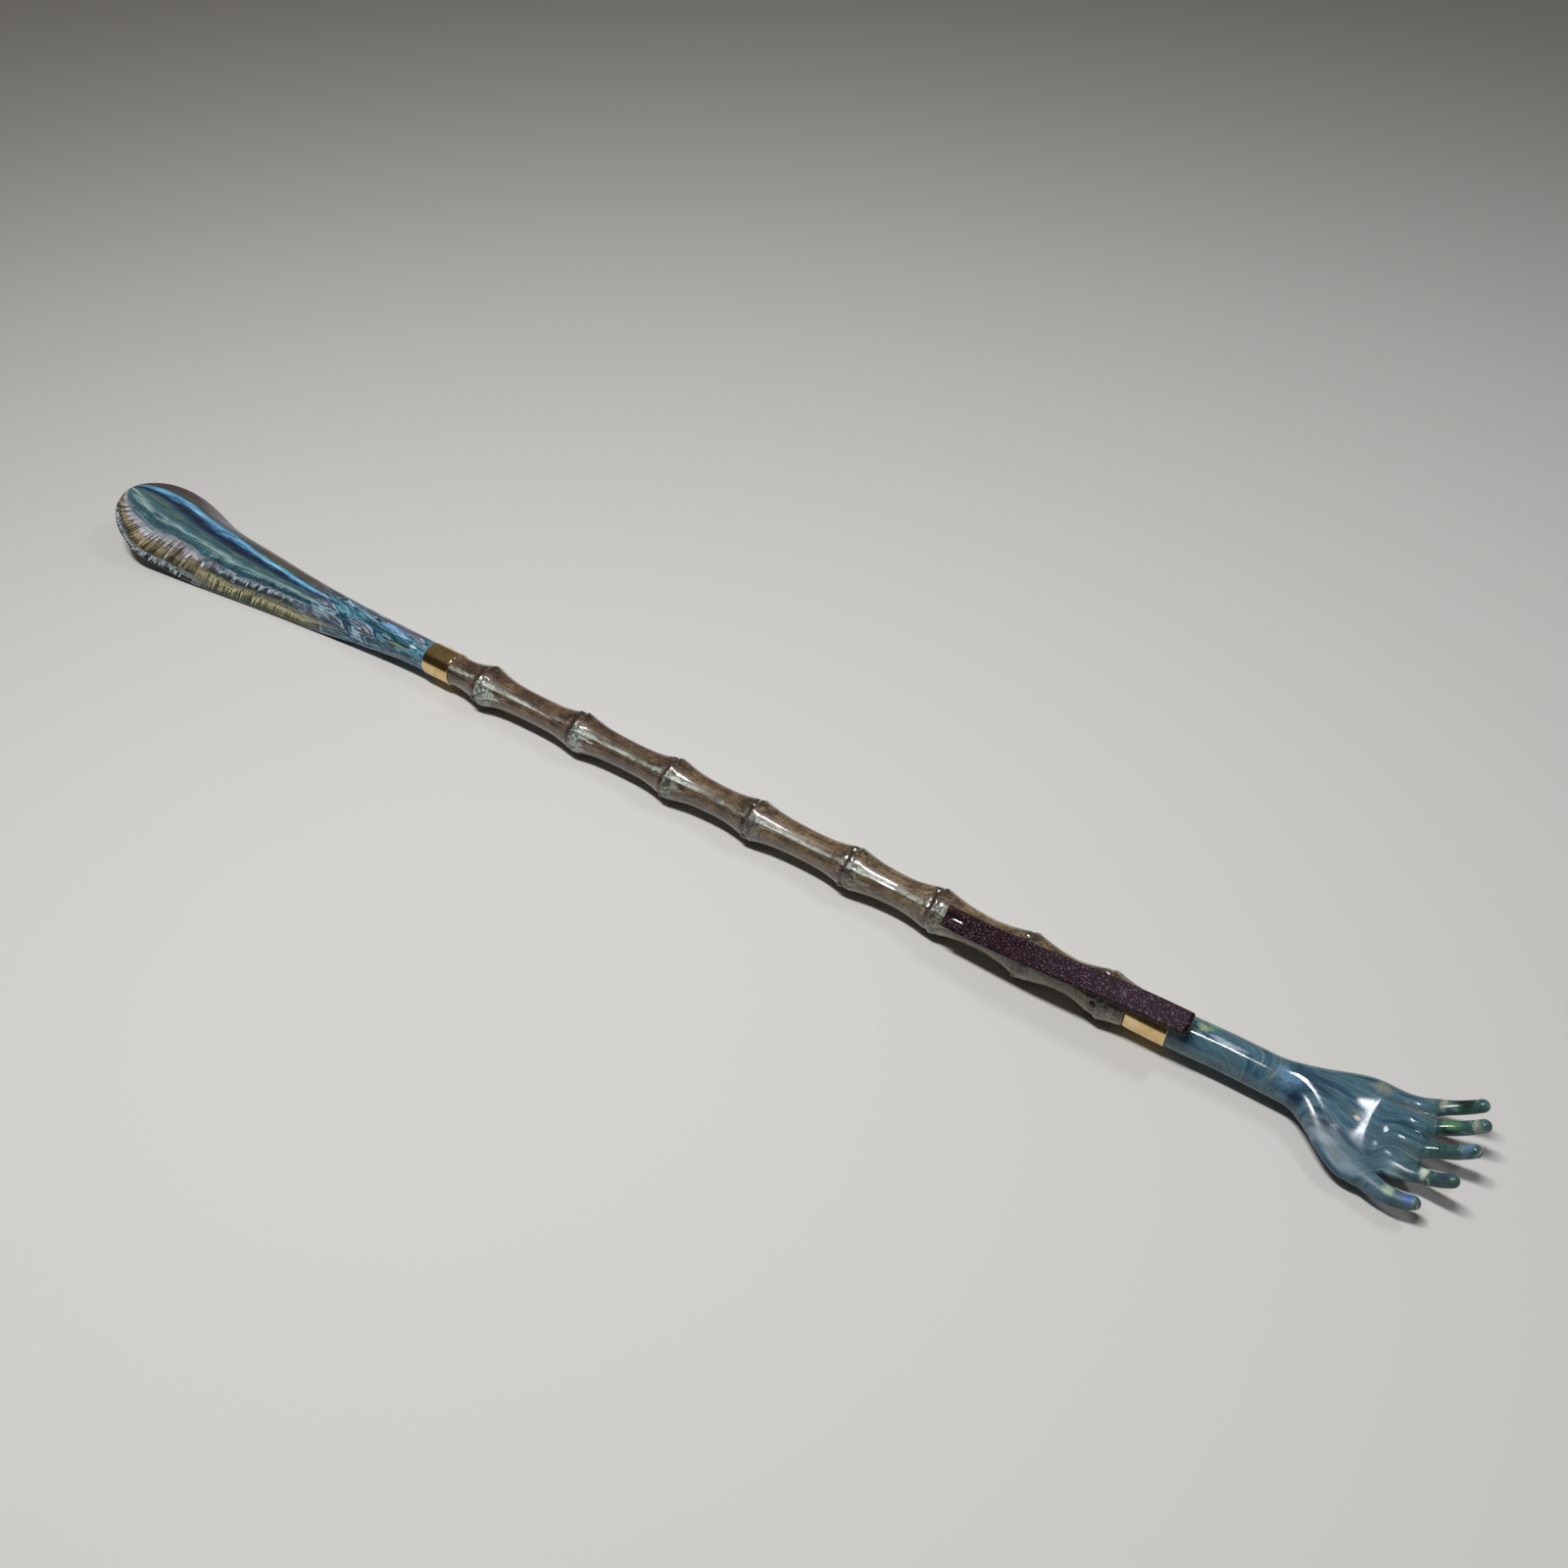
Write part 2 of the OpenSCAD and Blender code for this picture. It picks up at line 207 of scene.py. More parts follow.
def keep(obj, name, values, kind="FLOAT"):
    """Stores a value for each point, for the material to read."""
    attribute = obj.data.attributes.new(name, kind, "POINT")
    field = "vector" if kind == "FLOAT_VECTOR" else "value"
    attribute.data.foreach_set(field, np.asarray(values, np.float32).ravel())


def shader(name):
    """A new material, and the call that adds a node to its empty tree."""
    material = bpy.data.materials.new(name)
    material.use_nodes = True
    material.node_tree.nodes.clear()
    return material, partial(add, material.node_tree)


def surfaced(material, looks):
    """Ends a material with a surface shader that has these inputs."""
    surface = add(material.node_tree, "BsdfPrincipled", looks)
    add(material.node_tree, "OutputMaterial", {"Surface": surface}, out=None)
    return material


# Camera at the photo's angle
camera_data = bpy.data.cameras.new("camera")
camera_data.sensor_width = 36
camera_data.lens = 31.8
camera_data.clip_start = 0.01
camera_data.clip_end = 20
camera = placed("camera", camera_data)
look_right = Vector((0.817, 0.577, 0)).normalized()
look_back = Vector((0.422, -0.598, 0.682)).normalized()
look_up = look_back.cross(look_right)
turn = Matrix((look_right, look_up, look_back)).transposed().to_4x4()
camera_at = Vector((HORN_END + 379.6, -287.2, 360.8)) * MM
camera.matrix_world = Matrix.Translation(camera_at) @ turn
bpy.context.scene.camera = camera


def splash(node, place, under, spot, half, colour, ragged):
    """Lays one ragged blot of colour on a colour, for pigment and for painted highlights and reflections:
    its middle, its half sizes and its hex colour.
    """
    away = node("VectorMath", (place, spot), operation="SUBTRACT")
    away = node("VectorMath", (away, half), operation="DIVIDE")
    stir = node("TexNoise", {"Vector": away, "Scale": 1.6, "Detail": 4, "Roughness": 0.65})
    size = node("VectorMath", {0: away}, operation="LENGTH", out="Value")
    size = node("Math", (stir, ragged, size), operation="MULTIPLY_ADD")
    edge = 1 + ragged / 2
    share = node("MapRange", (size, edge, edge - 0.7), interpolation_type="SMOOTHSTEP")
    return node("Mix", {0: share, 6: under, 7: linear(colour)}, data_type="RGBA", out=2)


# Marbled resin of the horn: pearl pigments drawn out into lengthwise streaks under a deep polish, so the
# colour lies in bands that follow the flare, the near edge is combed like feathers, and lights are sharp
def horn_resin():
    material, node = shader("polished_marbled_resin_horn")
    flow = node("Attribute", attribute_name="flow", out="Vector")
    parts = node("SeparateXYZ", {0: flow}, out=None).outputs
    along, across, side = parts[0], parts[1], parts[2]
    # Streaks wander: slowly over some 50 mm, and in wisps of some 12 mm
    at = node("VectorMath", (flow, (0.02, 5, 4)), operation="MULTIPLY")
    slow = node("TexNoise", {"Vector": at, "Scale": 1, "Detail": 8, "Roughness": 0.6, "Distortion": 0.5})
    at = node("VectorMath", (flow, (0.08, 17, 4)), operation="MULTIPLY")
    wisp = node("TexNoise", {"Vector": at, "Scale": 1, "Detail": 8, "Roughness": 0.75, "Distortion": 0.3})
    # The bands of the far half climb towards the far edge on their way to the tip
    climb = node("MapRange", (along, 60, 195, -0.24, 0.12))
    far = node("MapRange", (across, 0.24, 0.5), interpolation_type="SMOOTHSTEP")
    lift = node("Math", (climb, far), operation="MULTIPLY")
    level = node("Math", (across, lift), operation="SUBTRACT")
    # Silk: hair-fine lines along the streaks, from 0.3 to 2 mm apart, fray the bands' edges
    at = node("VectorMath", (flow, (0.05, 42, 6)), operation="MULTIPLY")
    hair = node("TexNoise", {"Vector": at, "Scale": 1, "Detail": 7, "Roughness": 0.72, "Distortion": 0.25})
    for noise, much in ((slow, 0.15), (wisp, 0.08), (hair, 0.2)):
        level = node("Math", (noise, much, level), operation="MULTIPLY_ADD")
    # Feathers: strokes across the near third, about 1 mm wide, comb the bands apart there
    slant = node("Math", (across, 30, along), operation="MULTIPLY_ADD")
    combed = node("CombineXYZ", (slant, across, side))
    at = node("VectorMath", (combed, (0.9, 3, 5)), operation="MULTIPLY")
    stroke = node("TexNoise", {"Vector": at, "Scale": 1, "Detail": 4, "Roughness": 0.65})
    open_at = node("MapRange", (along, 62, 96), interpolation_type="SMOOTHSTEP")
    comb = node("MapRange", (across, 0.36, 0.24), interpolation_type="SMOOTHSTEP")
    comb = node("Math", (comb, open_at), operation="MULTIPLY")
    ragged = node("Math", (stroke, 0.5), operation="SUBTRACT")
    ragged = node("Math", (ragged, comb), operation="MULTIPLY")
    level = node("Math", (ragged, 0.26, level), operation="MULTIPLY_ADD")
    level = node("Math", (level, 0.215), operation="SUBTRACT")
    rest = {
        0.29: "2a4650", 0.335: "3b626d", 0.36: "7d9a9a", 0.375: "96aaa6", 0.40: "466c76", 0.43: "335a67",
        0.46: "59695f", 0.50: "2c4e66", 0.535: "161f30", 0.57: "1a2c44", 0.595: "3a6f9c",
        0.62: "6aaed6", 0.64: "8fc4de", 0.66: "4480a6", 0.69: "2b434e", 0.73: "4c4a34", 0.77: "54404e",
        0.82: "3a3630", 0.88: "5f5068", 1.0: "2a2630",
    }
    # In the tip's ramp, the near-black stops at the very near edge are painted shade of the gap under the
    # raised near edge
    wide = {
        0.0: "05070b", 0.03: "0c121a", 0.055: "b0bcc4", 0.075: "3a3f44", 0.10: "35332a", 0.135: "6a6248",
        0.165: "93896c", 0.185: "575350", 0.205: "87828c", 0.23: "b5b0b8", 0.255: "6f7a84", 0.275: "8b99a0",
    }
    middle = {
        0.0: "1f2a24", 0.05: "3d4630", 0.085: "6f7048", 0.11: "c4be98", 0.13: "837f5c", 0.155: "33403e",
        0.19: "16263c", 0.22: "7f8f98", 0.235: "b3bcbc", 0.25: "3a566a", 0.27: "1f364c",
    }
    tip_bands = bands(node("ValToRGB", {0: level}, out=None), {**wide, **rest})
    mid_bands = bands(node("ValToRGB", {0: level}, out=None), {**middle, **rest})
    tipward = node("Math", (wisp, 50, along), operation="MULTIPLY_ADD")
    tipward = node("MapRange", (tipward, 145, 168), interpolation_type="SMOOTHSTEP")
    opened = node("Mix", {0: tipward, 6: mid_bands, 7: tip_bands}, data_type="RGBA", out=2)
    # Towards the neck the streaks run slantwise and swirl
    twist = {2: side}
    for axis, per_mm, per_width in ((0, 0.035, 1.6), (1, -0.05, 7)):
        drawn = node("Math", (along, per_mm), operation="MULTIPLY")
        twist[axis] = node("Math", (across, per_width, drawn), operation="MULTIPLY_ADD")
    twist = node("CombineXYZ", twist)
    swirl = {"Vector": twist, "Scale": 1, "Detail": 3, "Roughness": 0.5, "Distortion": 0.8}
    swirl = node("TexNoise", swirl)
    neck = bands(
        node("ValToRGB", {0: swirl}, out=None),
        {
            0.27: "101822", 0.36: "243b49", 0.42: "33606f", 0.46: "6a9fb2", 0.49: "2e5160", 0.52: "182840",
            0.55: "4a7496", 0.58: "b5d6e6", 0.61: "3c3a4c", 0.66: "6d6480", 0.71: "5a6650", 0.78: "d4e0e4",
        },
    )
    shut = node("Math", (slow, 60, along), operation="MULTIPLY_ADD")
    shut = node("MapRange", (shut, 68, 112), interpolation_type="SMOOTHSTEP")
    laid = node("Mix", {0: shut, 6: neck, 7: opened}, data_type="RGBA", out=2)
    # The hairs and the strokes are lighter and darker lines too
    shade = node("MapRange", (hair, 0.36, 0.64, 0.4, 1.6))
    fur = node("MapRange", (stroke, 0.36, 0.64, 0.15, 2.1))
    shade = node("Mix", {0: comb, 2: shade, 3: fur})
    lit = node("Mix", {0: 1.0, 6: laid, 7: shade}, data_type="RGBA", blend_type="MULTIPLY", out=2)
    # Blots of pigment by the neck and down the far side, and one near-white painted highlight by the neck:
    # middle and half size, as millimetres along and share across
    for spot, half, colour, ragged in (
        ((22, 0.46), (8, 0.07), "6fa3cf", 1.1),
        ((14, 0.40), (5, 0.04), "8db4dc", 1.0),
        # This near-white blot is a painted highlight of the lamp on the neck's shoulder
        ((7, 0.30), (3, 0.035), "d5dfe8", 0.6),
        ((11, 0.24), (5, 0.03), "16202c", 0.9),
        ((15, 0.20), (9, 0.03), "8b8d62", 1.2),
        ((5, 0.43), (3, 0.03), "8a5a5c", 1.0),
        ((30, 0.56), (14, 0.06), "5c4d62", 1.1),
        ((10, 0.62), (12, 0.08), "5f5068", 1.0),
        ((95, 0.56), (26, 0.035), "55573a", 1.3),
        ((140, 0.76), (24, 0.035), "7a6c86", 1.4),
        ((165, 0.84), (20, 0.05), "4a4a30", 1.3),
        ((112, 0.80), (22, 0.05), "372e3c", 1.3),
    ):
        lit = splash(node, flow, lit, (*spot, 0), (*half, 1), colour, ragged)
    looks = {"Base Color": lit, "Roughness": 0.36, "IOR": 1.5, "Specular IOR Level": 0.3}
    return surfaced(material, {**looks, "Coat Weight": 0.2, "Coat Roughness": 0.08})


# How far over the handle's axis the hand's blots of pigment and painted light lie, and half their height
BLOT_UP = 2
BLOT_HALF_TALL = 9


# Marbled resin of the hand: the same stock, swirled across the wrist and combed along the palm
def hand_resin():
    material, node = shader("polished_marbled_resin_hand")
    place = node("TexCoord", out="Object")
    flow = node("Attribute", attribute_name="flow", out="Vector")
    parts = node("SeparateXYZ", {0: flow}, out=None).outputs
    line, reach, height = parts[0], parts[1], parts[2]
    # The combed lines wander by a millimetre or two
    stir = node("TexNoise", {"Vector": place, "Scale": 35, "Detail": 3, "Roughness": 0.5})
    stirred = node("Math", (stir, 1.6, line), operation="MULTIPLY_ADD")
    combed = node("CombineXYZ", (stirred, reach, height))
    # Pools of colour, some 6 mm wide and 40 mm long
    at = node("VectorMath", (combed, (0.2, 0.03, 0.07)), operation="MULTIPLY")
    pool = node("TexNoise", {"Vector": at, "Scale": 1, "Detail": 6, "Roughness": 0.65})
    pools = bands(
        node("ValToRGB", {0: pool}, out=None),
        {
            0.28: "1c2f42", 0.38: "2a455a", 0.45: "3b5a6c", 0.50: "4d6d7d", 0.55: "43616e", 0.60: "586a6c",
            0.66: "62788a", 0.75: "8796a4",
        },
    )
    # Lines of pigment, 0.3 to 1.5 mm apart, dark and light
    at = node("VectorMath", (combed, (1.9, 0.035, 0.1)), operation="MULTIPLY")
    lines = node("TexNoise", {"Vector": at, "Scale": 1, "Detail": 7, "Roughness": 0.7})
    shade = node("MapRange", (lines, 0.3, 0.7, 0.6, 1.4))
    lit = node("Mix", {0: 1.0, 6: pools, 7: shade}, data_type="RGBA", blend_type="MULTIPLY", out=2)
    pale = node("MapRange", {0: lines, 1: 0.6, 2: 0.72, 4: 0.4})
    lit = node("Mix", {0: pale, 6: lit, 7: linear("9fb0ba")}, data_type="RGBA", out=2)
    # Fingers: dark green and blue in bands 3 to 6 mm wide, with a few cream ones, and blue tips
    at = node("VectorMath", (place, (170, 110, 170)), operation="MULTIPLY")
    ring = node("TexNoise", {"Vector": at, "Scale": 1, "Detail": 6, "Roughness": 0.65, "Distortion": 0.9})
    rings = bands(
        node("ValToRGB", {0: ring}, out=None),
        {
            0.30: "182428", 0.40: "263d3c", 0.46: "3a5a52", 0.51: "35545e", 0.56: "53706a", 0.61: "8d988a",
            0.66: "a9ada0", 0.70: "4a6374",
        },
    )
    fuzzy = node("Math", (stir, 16, reach), operation="MULTIPLY_ADD")
    fingers = node("MapRange", (fuzzy, 78, 88), interpolation_type="SMOOTHSTEP")
    laid = node("Mix", {0: fingers, 6: lit, 7: rings}, data_type="RGBA", out=2)
    # Blots of pigment, with a pale painted highlight along the forearm's top and a grey painted reflection
    # on its far side: middle as distance from the ferrule and side, half sizes, all in millimetres
    for spot, half, colour, ragged in (
        ((3, -2), (4, 4), "8fa27c", 1.3),
        ((9, 0.5), (3.4, 2.6), "97ac84", 1.3),
        ((11.5, 3), (3, 1.5), "5f9468", 1.2),
        # A pale painted highlight along the forearm's top
        ((17, -1), (8, 1.6), "a9bccb", 1.5),
        # A grey painted reflection of the backdrop on the forearm's far side
        ((22, 5), (9, 2), "5d5f5c", 1.3),
        ((37, -1), (6, 4), "6488a8", 1.9),
        ((41, -5), (3.5, 2.5), "1d3048", 1.3),
        ((61, 14), (4, 3.5), "79837c", 1.6),
        ((58, -0.6), (1.5, 1.1), "cdbcb2", 0.8),
        ((50, -12), (9, 2), "7f8c9a", 1.5),
        ((52, -8), (8, 1.2), "1c2f45", 1.4),
        ((77.5, 19.6), (1.4, 3), "8d9684", 0.6),
        ((83, 21.4), (3, 2.4), "1d2a26", 0.9),
        ((81.5, 13.2), (3.5, 1.8), "4f7d58", 1.0),
        ((79.6, -6.4), (1.7, 3), "c6cfc6", 0.7),
        ((84.5, -7.6), (2.3, 3), "39435f", 0.8),
        ((73, -17.6), (2.6, 2.4), "8ea894", 1.0),
        ((78.3, -17.4), (2.6, 3), "3f619a", 0.9),
        ((87.6, 5.2), (2.4, 3), "5e86a2", 0.6),
        ((88.2, 15.2), (1.6, 3), "54706c", 0.6),
    ):
        at = Vector((HAND_START + spot[0], spot[1], AXIS_H + BLOT_UP)) * MM
        laid = splash(node, place, laid, at, Vector((*half, BLOT_HALF_TALL)) * MM, colour, ragged)
    # Hand polishing leaves the skin a little wavy, over some 15 mm, cloudy in places and duller by the thumb
    wave = node("TexNoise", {"Vector": place, "Scale": 70, "Detail": 1})
    wavy = node("Bump", {"Height": wave, "Strength": 0.1, "Distance": 0.0008})
    aside = node("SeparateXYZ", {0: place}, out=1)
    dull = node("MapRange", (aside, -0.004, -0.011))
    cloud = node("MapRange", (pool, 0.42, 0.58, 0.08, 0.17))
    rough = node("Math", (dull, 0.36, cloud), operation="MULTIPLY_ADD")
    return surfaced(material, {"Base Color": laid, "Roughness": rough, "IOR": 1.5, "Normal": wavy})


# Lacquered bamboo root: brown stained fibre, a pale stripe over its seam that is bare wood and, past each
# knot, a painted highlight, paler bare wood in patches past its first knots, dark cracks and grooves, all
# under a thick clear gloss
def bamboo_lacquer():
    material, node = shader("lacquered_bamboo_root")
    place = node("TexCoord", out="Object")
    along = node("SeparateXYZ", {0: place})
    off, knot, shoulder, groove = (
        node("Attribute", attribute_name=name, out="Fac") for name in ("turn", "knot", "shoulder", "groove")
    )
    # Fibres run along the handle: about 25 mm long and 0.7 mm wide
    at = node("VectorMath", (place, (40, 1400, 1400)), operation="MULTIPLY")
    fibre = node("TexNoise", {"Vector": at, "Scale": 1, "Detail": 5, "Roughness": 0.65})
    cloud = node("TexNoise", {"Vector": place, "Scale": 130, "Detail": 7, "Roughness": 0.72})
    tone = node("Mix", {0: 0.55, 2: fibre, 3: cloud})
    wood = bands(
        node("ValToRGB", {0: tone}, out=None),
        {0.35: "1a100b", 0.44: "38261b", 0.50: "523c2c", 0.56: "6b523c", 0.64: "8a7458"},
    )
    khaki = bands(
        node("ValToRGB", {0: tone}, out=None),
        {0.35: "251b11", 0.44: "4d3d2a", 0.50: "6a5940", 0.56: "827154", 0.64: "9c8f70"},
    )
    handward = node("MapRange", {0: along, 1: -0.02, 2: 0.12, 4: 0.85})
    wood = node("Mix", {0: handward, 6: wood, 7: khaki}, data_type="RGBA", out=2)
    pale = bands(
        node("ValToRGB", {0: fibre}, out=None),
        {0.30: "84948a", 0.5: "aebbb0", 0.7: "c9d2c8"},
    )
    # The stripe over the seam is some 2 mm wide, bare wood and a painted highlight on each knot's hand-side
    # shoulder; it is whole past a knot and breaks up before the next
    at = node("VectorMath", (place, (70, 420, 420)), operation="MULTIPLY")
    drift = node("TexNoise", {"Vector": at, "Scale": 1, "Detail": 6, "Roughness": 0.7})
    rise = node("MapRange", (off, -0.40, -0.20))
    fall = node("MapRange", (off, 0.015, -0.015))
    stripe = node("Math", (rise, fall), operation="MULTIPLY")
    whole = node("Math", (shoulder, 0.22, drift), operation="MULTIPLY_ADD")
    whole = node("MapRange", (whole, 0.44, 0.6))
    stripe = node("Math", (stripe, whole), operation="MULTIPLY")
    # Bare patches below the seam, past the first knots
    below = node("MapRange", (off, -0.02, 0.02))
    hornward = node("MapRange", (along, -0.01, 0.03, 1, 0.25))
    bare = node("Math", (shoulder, 0.55, drift), operation="MULTIPLY_ADD")
    bare = node("MapRange", (bare, 0.7, 0.76))
    for where in (below, hornward):
        bare = node("Math", (bare, where), operation="MULTIPLY")
    bare_and_sheen = node("Math", (stripe, bare), operation="MAXIMUM")
    # The pale colour is bare wood in the patches, and bare wood with a painted highlight in the stripe past
    # each knot
    worn_and_sheen = node("Mix", {0: bare_and_sheen, 6: wood, 7: pale}, data_type="RGBA", out=2)
    # Cracks along the seam and along the stripe's upper side, drawn 0.3 mm wide so that they show
    crack = node("Math", {0: off}, operation="ABSOLUTE")
    crack = node("MapRange", (crack, 0.05, 0.015))
    second = node("Math", (off, 0.61), operation="ADD")
    second = node("Math", (drift, -0.5, second), operation="MULTIPLY_ADD")
    second = node("Math", {0: second}, operation="ABSOLUTE")
    second = node("MapRange", (second, 0.05, 0.01))
    crack = node("Math", (crack, second), operation="MAXIMUM")
    broken = node("MapRange", {0: fibre, 1: 0.40, 2: 0.55, 4: 0.9})
    crack = node("Math", (crack, broken), operation="MULTIPLY")
    # Dark specks, 0.3 to 1 mm, thickest at the knots, and the stained grooves before the crests
    speck = node("TexNoise", {"Vector": place, "Scale": 700, "Detail": 4, "Roughness": 0.75})
    near_knot = node("Math", (knot, 0.13, speck), operation="MULTIPLY_ADD")
    dirt = node("MapRange", {0: near_knot, 1: 0.54, 2: 0.64, 4: 0.85})
    dirt = node("Math", (dirt, crack), operation="MAXIMUM")
    dark = node("Mix", {0: dirt, 6: worn_and_sheen, 7: linear("1c120d")}, data_type="RGBA", out=2)
    stained = node("Math", (groove, cloud), operation="MULTIPLY")
    stained = node("MapRange", {0: stained, 1: 0.2, 2: 0.5, 4: 0.9})
    dark = node("Mix", {0: stained, 6: dark, 7: linear("2a150e")}, data_type="RGBA", out=2)
    bump = node("Bump", {"Height": tone, "Strength": 0.2, "Distance": 0.0003})
    looks = {"Base Color": dark, "Normal": bump, "Roughness": 0.45, "IOR": 1.5}
    return surfaced(material, {**looks, "Coat Weight": 1, "Coat Roughness": 0.13})


# Polished brass tube: a warm mirror with fine scratches round it and a few duller spots
def ferrule_brass():
    material, node = shader("polished_brass_tube")
    place = node("TexCoord", out="Object")
    stain = node("TexNoise", {"Vector": place, "Scale": 220, "Detail": 4})
    colour = bands(
        node("ValToRGB", {0: stain}, out=None),
        {0.35: "d2b177", 0.5: "e6c78f", 0.65: "efd6a4"},
    )
    # Scratches run round the tube, about 0.15 mm apart
    at = node("VectorMath", (place, (6500, 150, 150)), operation="MULTIPLY")
    scratch = node("TexNoise", {"Vector": at, "Scale": 1, "Detail": 2})
    rough = node("MapRange", (scratch, 0.35, 0.7, 0.1, 0.24))
    return surfaced(material, {"Base Color": colour, "Roughness": rough, "Metallic": 1})


# Bright steel wire and stud stock: drawn, with fine lines along it
def drawn_steel(name, low_rough, high_rough, colour):
    material, node = shader(name)
    place = node("TexCoord", out="Object")
    at = node("VectorMath", (place, (90, 3000, 3000)), operation="MULTIPLY")
    lines = node("TexNoise", {"Vector": at, "Scale": 1, "Detail": 2})
    rough = node("MapRange", (lines, 0.3, 0.7, low_rough, high_rough))
    return surfaced(material, {"Base Color": linear(colour), "Roughness": rough, "Metallic": 1})


# Pebble-grained leather, dyed plum brown: pebble tops painted lighter and a little lilac as a painted sheen,
# creases painted darker as painted shade, and cut edges painted dark as painted shade
def strap_leather():
    material, node = shader("pebbled_plum_leather")
    place = node("TexCoord", out="Object")
    # Pebbles are about 1.2 mm across
    stir = node("TexNoise", {"Vector": place, "Scale": 500, "Detail": 2}, out="Color")
    moved = node("Mix", {0: 0.0009, 4: place, 5: stir}, data_type="VECTOR", out=1)
    pebble = node(
        "TexVoronoi", {"Vector": moved, "Scale": 850}, feature="DISTANCE_TO_EDGE", out="Distance"
    )
    top = node("MapRange", (pebble, 0.02, 0.3))
    patch = node("TexNoise", {"Vector": place, "Scale": 700, "Detail": 3, "Roughness": 0.6})
    pebble_sheen_height = node("Math", (top, patch), operation="MULTIPLY")
    # Pebble tops are painted lighter and lilac as a painted sheen, and the creases between them darker as
    # painted shade; the same pattern raises the bump
    hide = bands(
        node("ValToRGB", {0: pebble_sheen_height}, out=None),
        {0.0: "190e12", 0.25: "28171d", 0.42: "352128", 0.55: "463038", 0.65: "5d4952"},
    )
    # The cut edges are painted dark as painted shade
    cut = node("Attribute", attribute_name="cut", out="Fac")
    edged = node("Mix", {0: cut, 6: hide, 7: linear("140c0e")}, data_type="RGBA", out=2)
    bump = node("Bump", {"Height": pebble_sheen_height, "Strength": 0.7, "Distance": 0.0003})
    looks = {"Base Color": edged, "Normal": bump, "Roughness": 0.34}
    return surfaced(material, {**looks, "Specular IOR Level": 0.2, "Specular Tint": linear("d3c2dc")})


# Shoe horn: a thin arch that opens from a round neck
def ridge_z(s):
    lip = LIP_RISE * np.clip((s - HORN_LEN + LIP_LEN) / LIP_LEN, 0, 1) ** 2
    return NECK_R + RIDGE_RISE * s / HORN_LEN + lip


def edge_z(s):
    return -AXIS_H * ease(s / FOOT_AT)


def horn_ring(s, count):
    """One section: the outer arch from the near edge to the far edge, and back along the underside."""
    flat_from = min(s, TIP_DROP_FROM)
    full = ridge_z(flat_from) - edge_z(flat_from)
    drop = mix(full, TIP_DROP, ease((s - TIP_DROP_FROM) / (TIP_DROP_TO - TIP_DROP_FROM)))
    half = NECK_R + (FLARE_HALF - NECK_R) * (s / HORN_LEN) ** FLARE_CURVE
    shrink = np.clip((s - ROUND_FROM) / ROUND_LEN, 0, 1) ** ROUND_POWER
    tip = max((1 - shrink) ** (1 / ROUND_POWER), TIP_FLAT)
    top = math.radians(90 - FLATTER_BY * float(ease((s - FLATTER_FROM) / FLATTER_LEN)))
    limit = math.asin(min(tip, 1) * math.sin(top))
    wall = mix(HORN_WALL, TIP_WALL_SHARE * HORN_WALL, s / HORN_LEN)
    a = limit * np.linspace(-1, 1, count)
    bow = (1 - np.cos(a)) / (1 - math.cos(top))
    outer = np.stack([half * np.sin(a) / math.sin(top), ridge_z(s) - drop * bow], 1)
    b = limit * (1 - (2 * np.arange(count) + 1) / count)
    bow = (1 - np.cos(b)) / (1 - math.cos(top))
    trough_z = ridge_z(s) - wall - (drop - wall) * bow
    trough = np.stack([(half - HORN_EDGE) * np.sin(b) / math.sin(top), trough_z], 1)
    low = -mix(NECK_R, AXIS_H, ease(s / FOOT_AT))
    belly_z = edge_z(s) - max(edge_z(s) - low, LEAST_BELLY) * np.cos(b)
    belly = np.stack([half * np.sin(b), belly_z], 1)
    under = mix(belly, trough, ease((s - TROUGH_FROM) / TROUGH_LEN))
    share = np.concatenate([a / limit, b / limit]) / 2 + 0.5
    return np.concatenate([outer, under]), share


def make_blade(material):
    count = HORN_SPOTS
    body = np.linspace(0, ROUND_FROM, HORN_BODY_RINGS, endpoint=False)
    tip = ROUND_FROM + ROUND_LEN * np.sin(np.linspace(0, math.pi / 2, HORN_TIP_RINGS))
    points, flow = [], []
    around = np.arange(2 * count)
    # The spigot inside the ferrule, with the stud's bore
    first, share = horn_ring(0.0, count)
    direction = first / np.linalg.norm(first, axis=1)[:, None]
    bore = ((BORE_DEPTH, BORE_POINT_R), (BORE_DEPTH, BORE_R), (-SPIGOT_LEN, BORE_R))
    for x, r in (*bore, (-SPIGOT_LEN, SPIGOT_R), (0, SPIGOT_R)):
        for d, v in zip(direction * r, share):
            points.append((HORN_END - x, d[0], AXIS_H + d[1]))
            flow.append((x, v, 0))
    for s in np.concatenate([body, tip]):
        ring, share = horn_ring(float(s), count)
        for j in around:
            points.append((HORN_END - s, ring[j, 0], AXIS_H + ring[j, 1]))
            flow.append((s, share[j], 0.0 if j < count else 1.0))
    rings = len(points) // (2 * count)
    faces = ring_faces(rings, 2 * count)
    last = (rings - 1) * 2 * count
    for j in range(count - 1):
        faces.append((last + j, last + j + 1, last + 2 * count - 2 - j, last + 2 * count - 1 - j))
    obj = piece("shoehorn_blade_resin", points, faces, material)
    keep(obj, "flow", flow, "FLOAT_VECTOR")
    smooth = obj.modifiers.new("rounded_rim", "SUBSURF")
    smooth.levels = smooth.render_levels = 1
    return obj


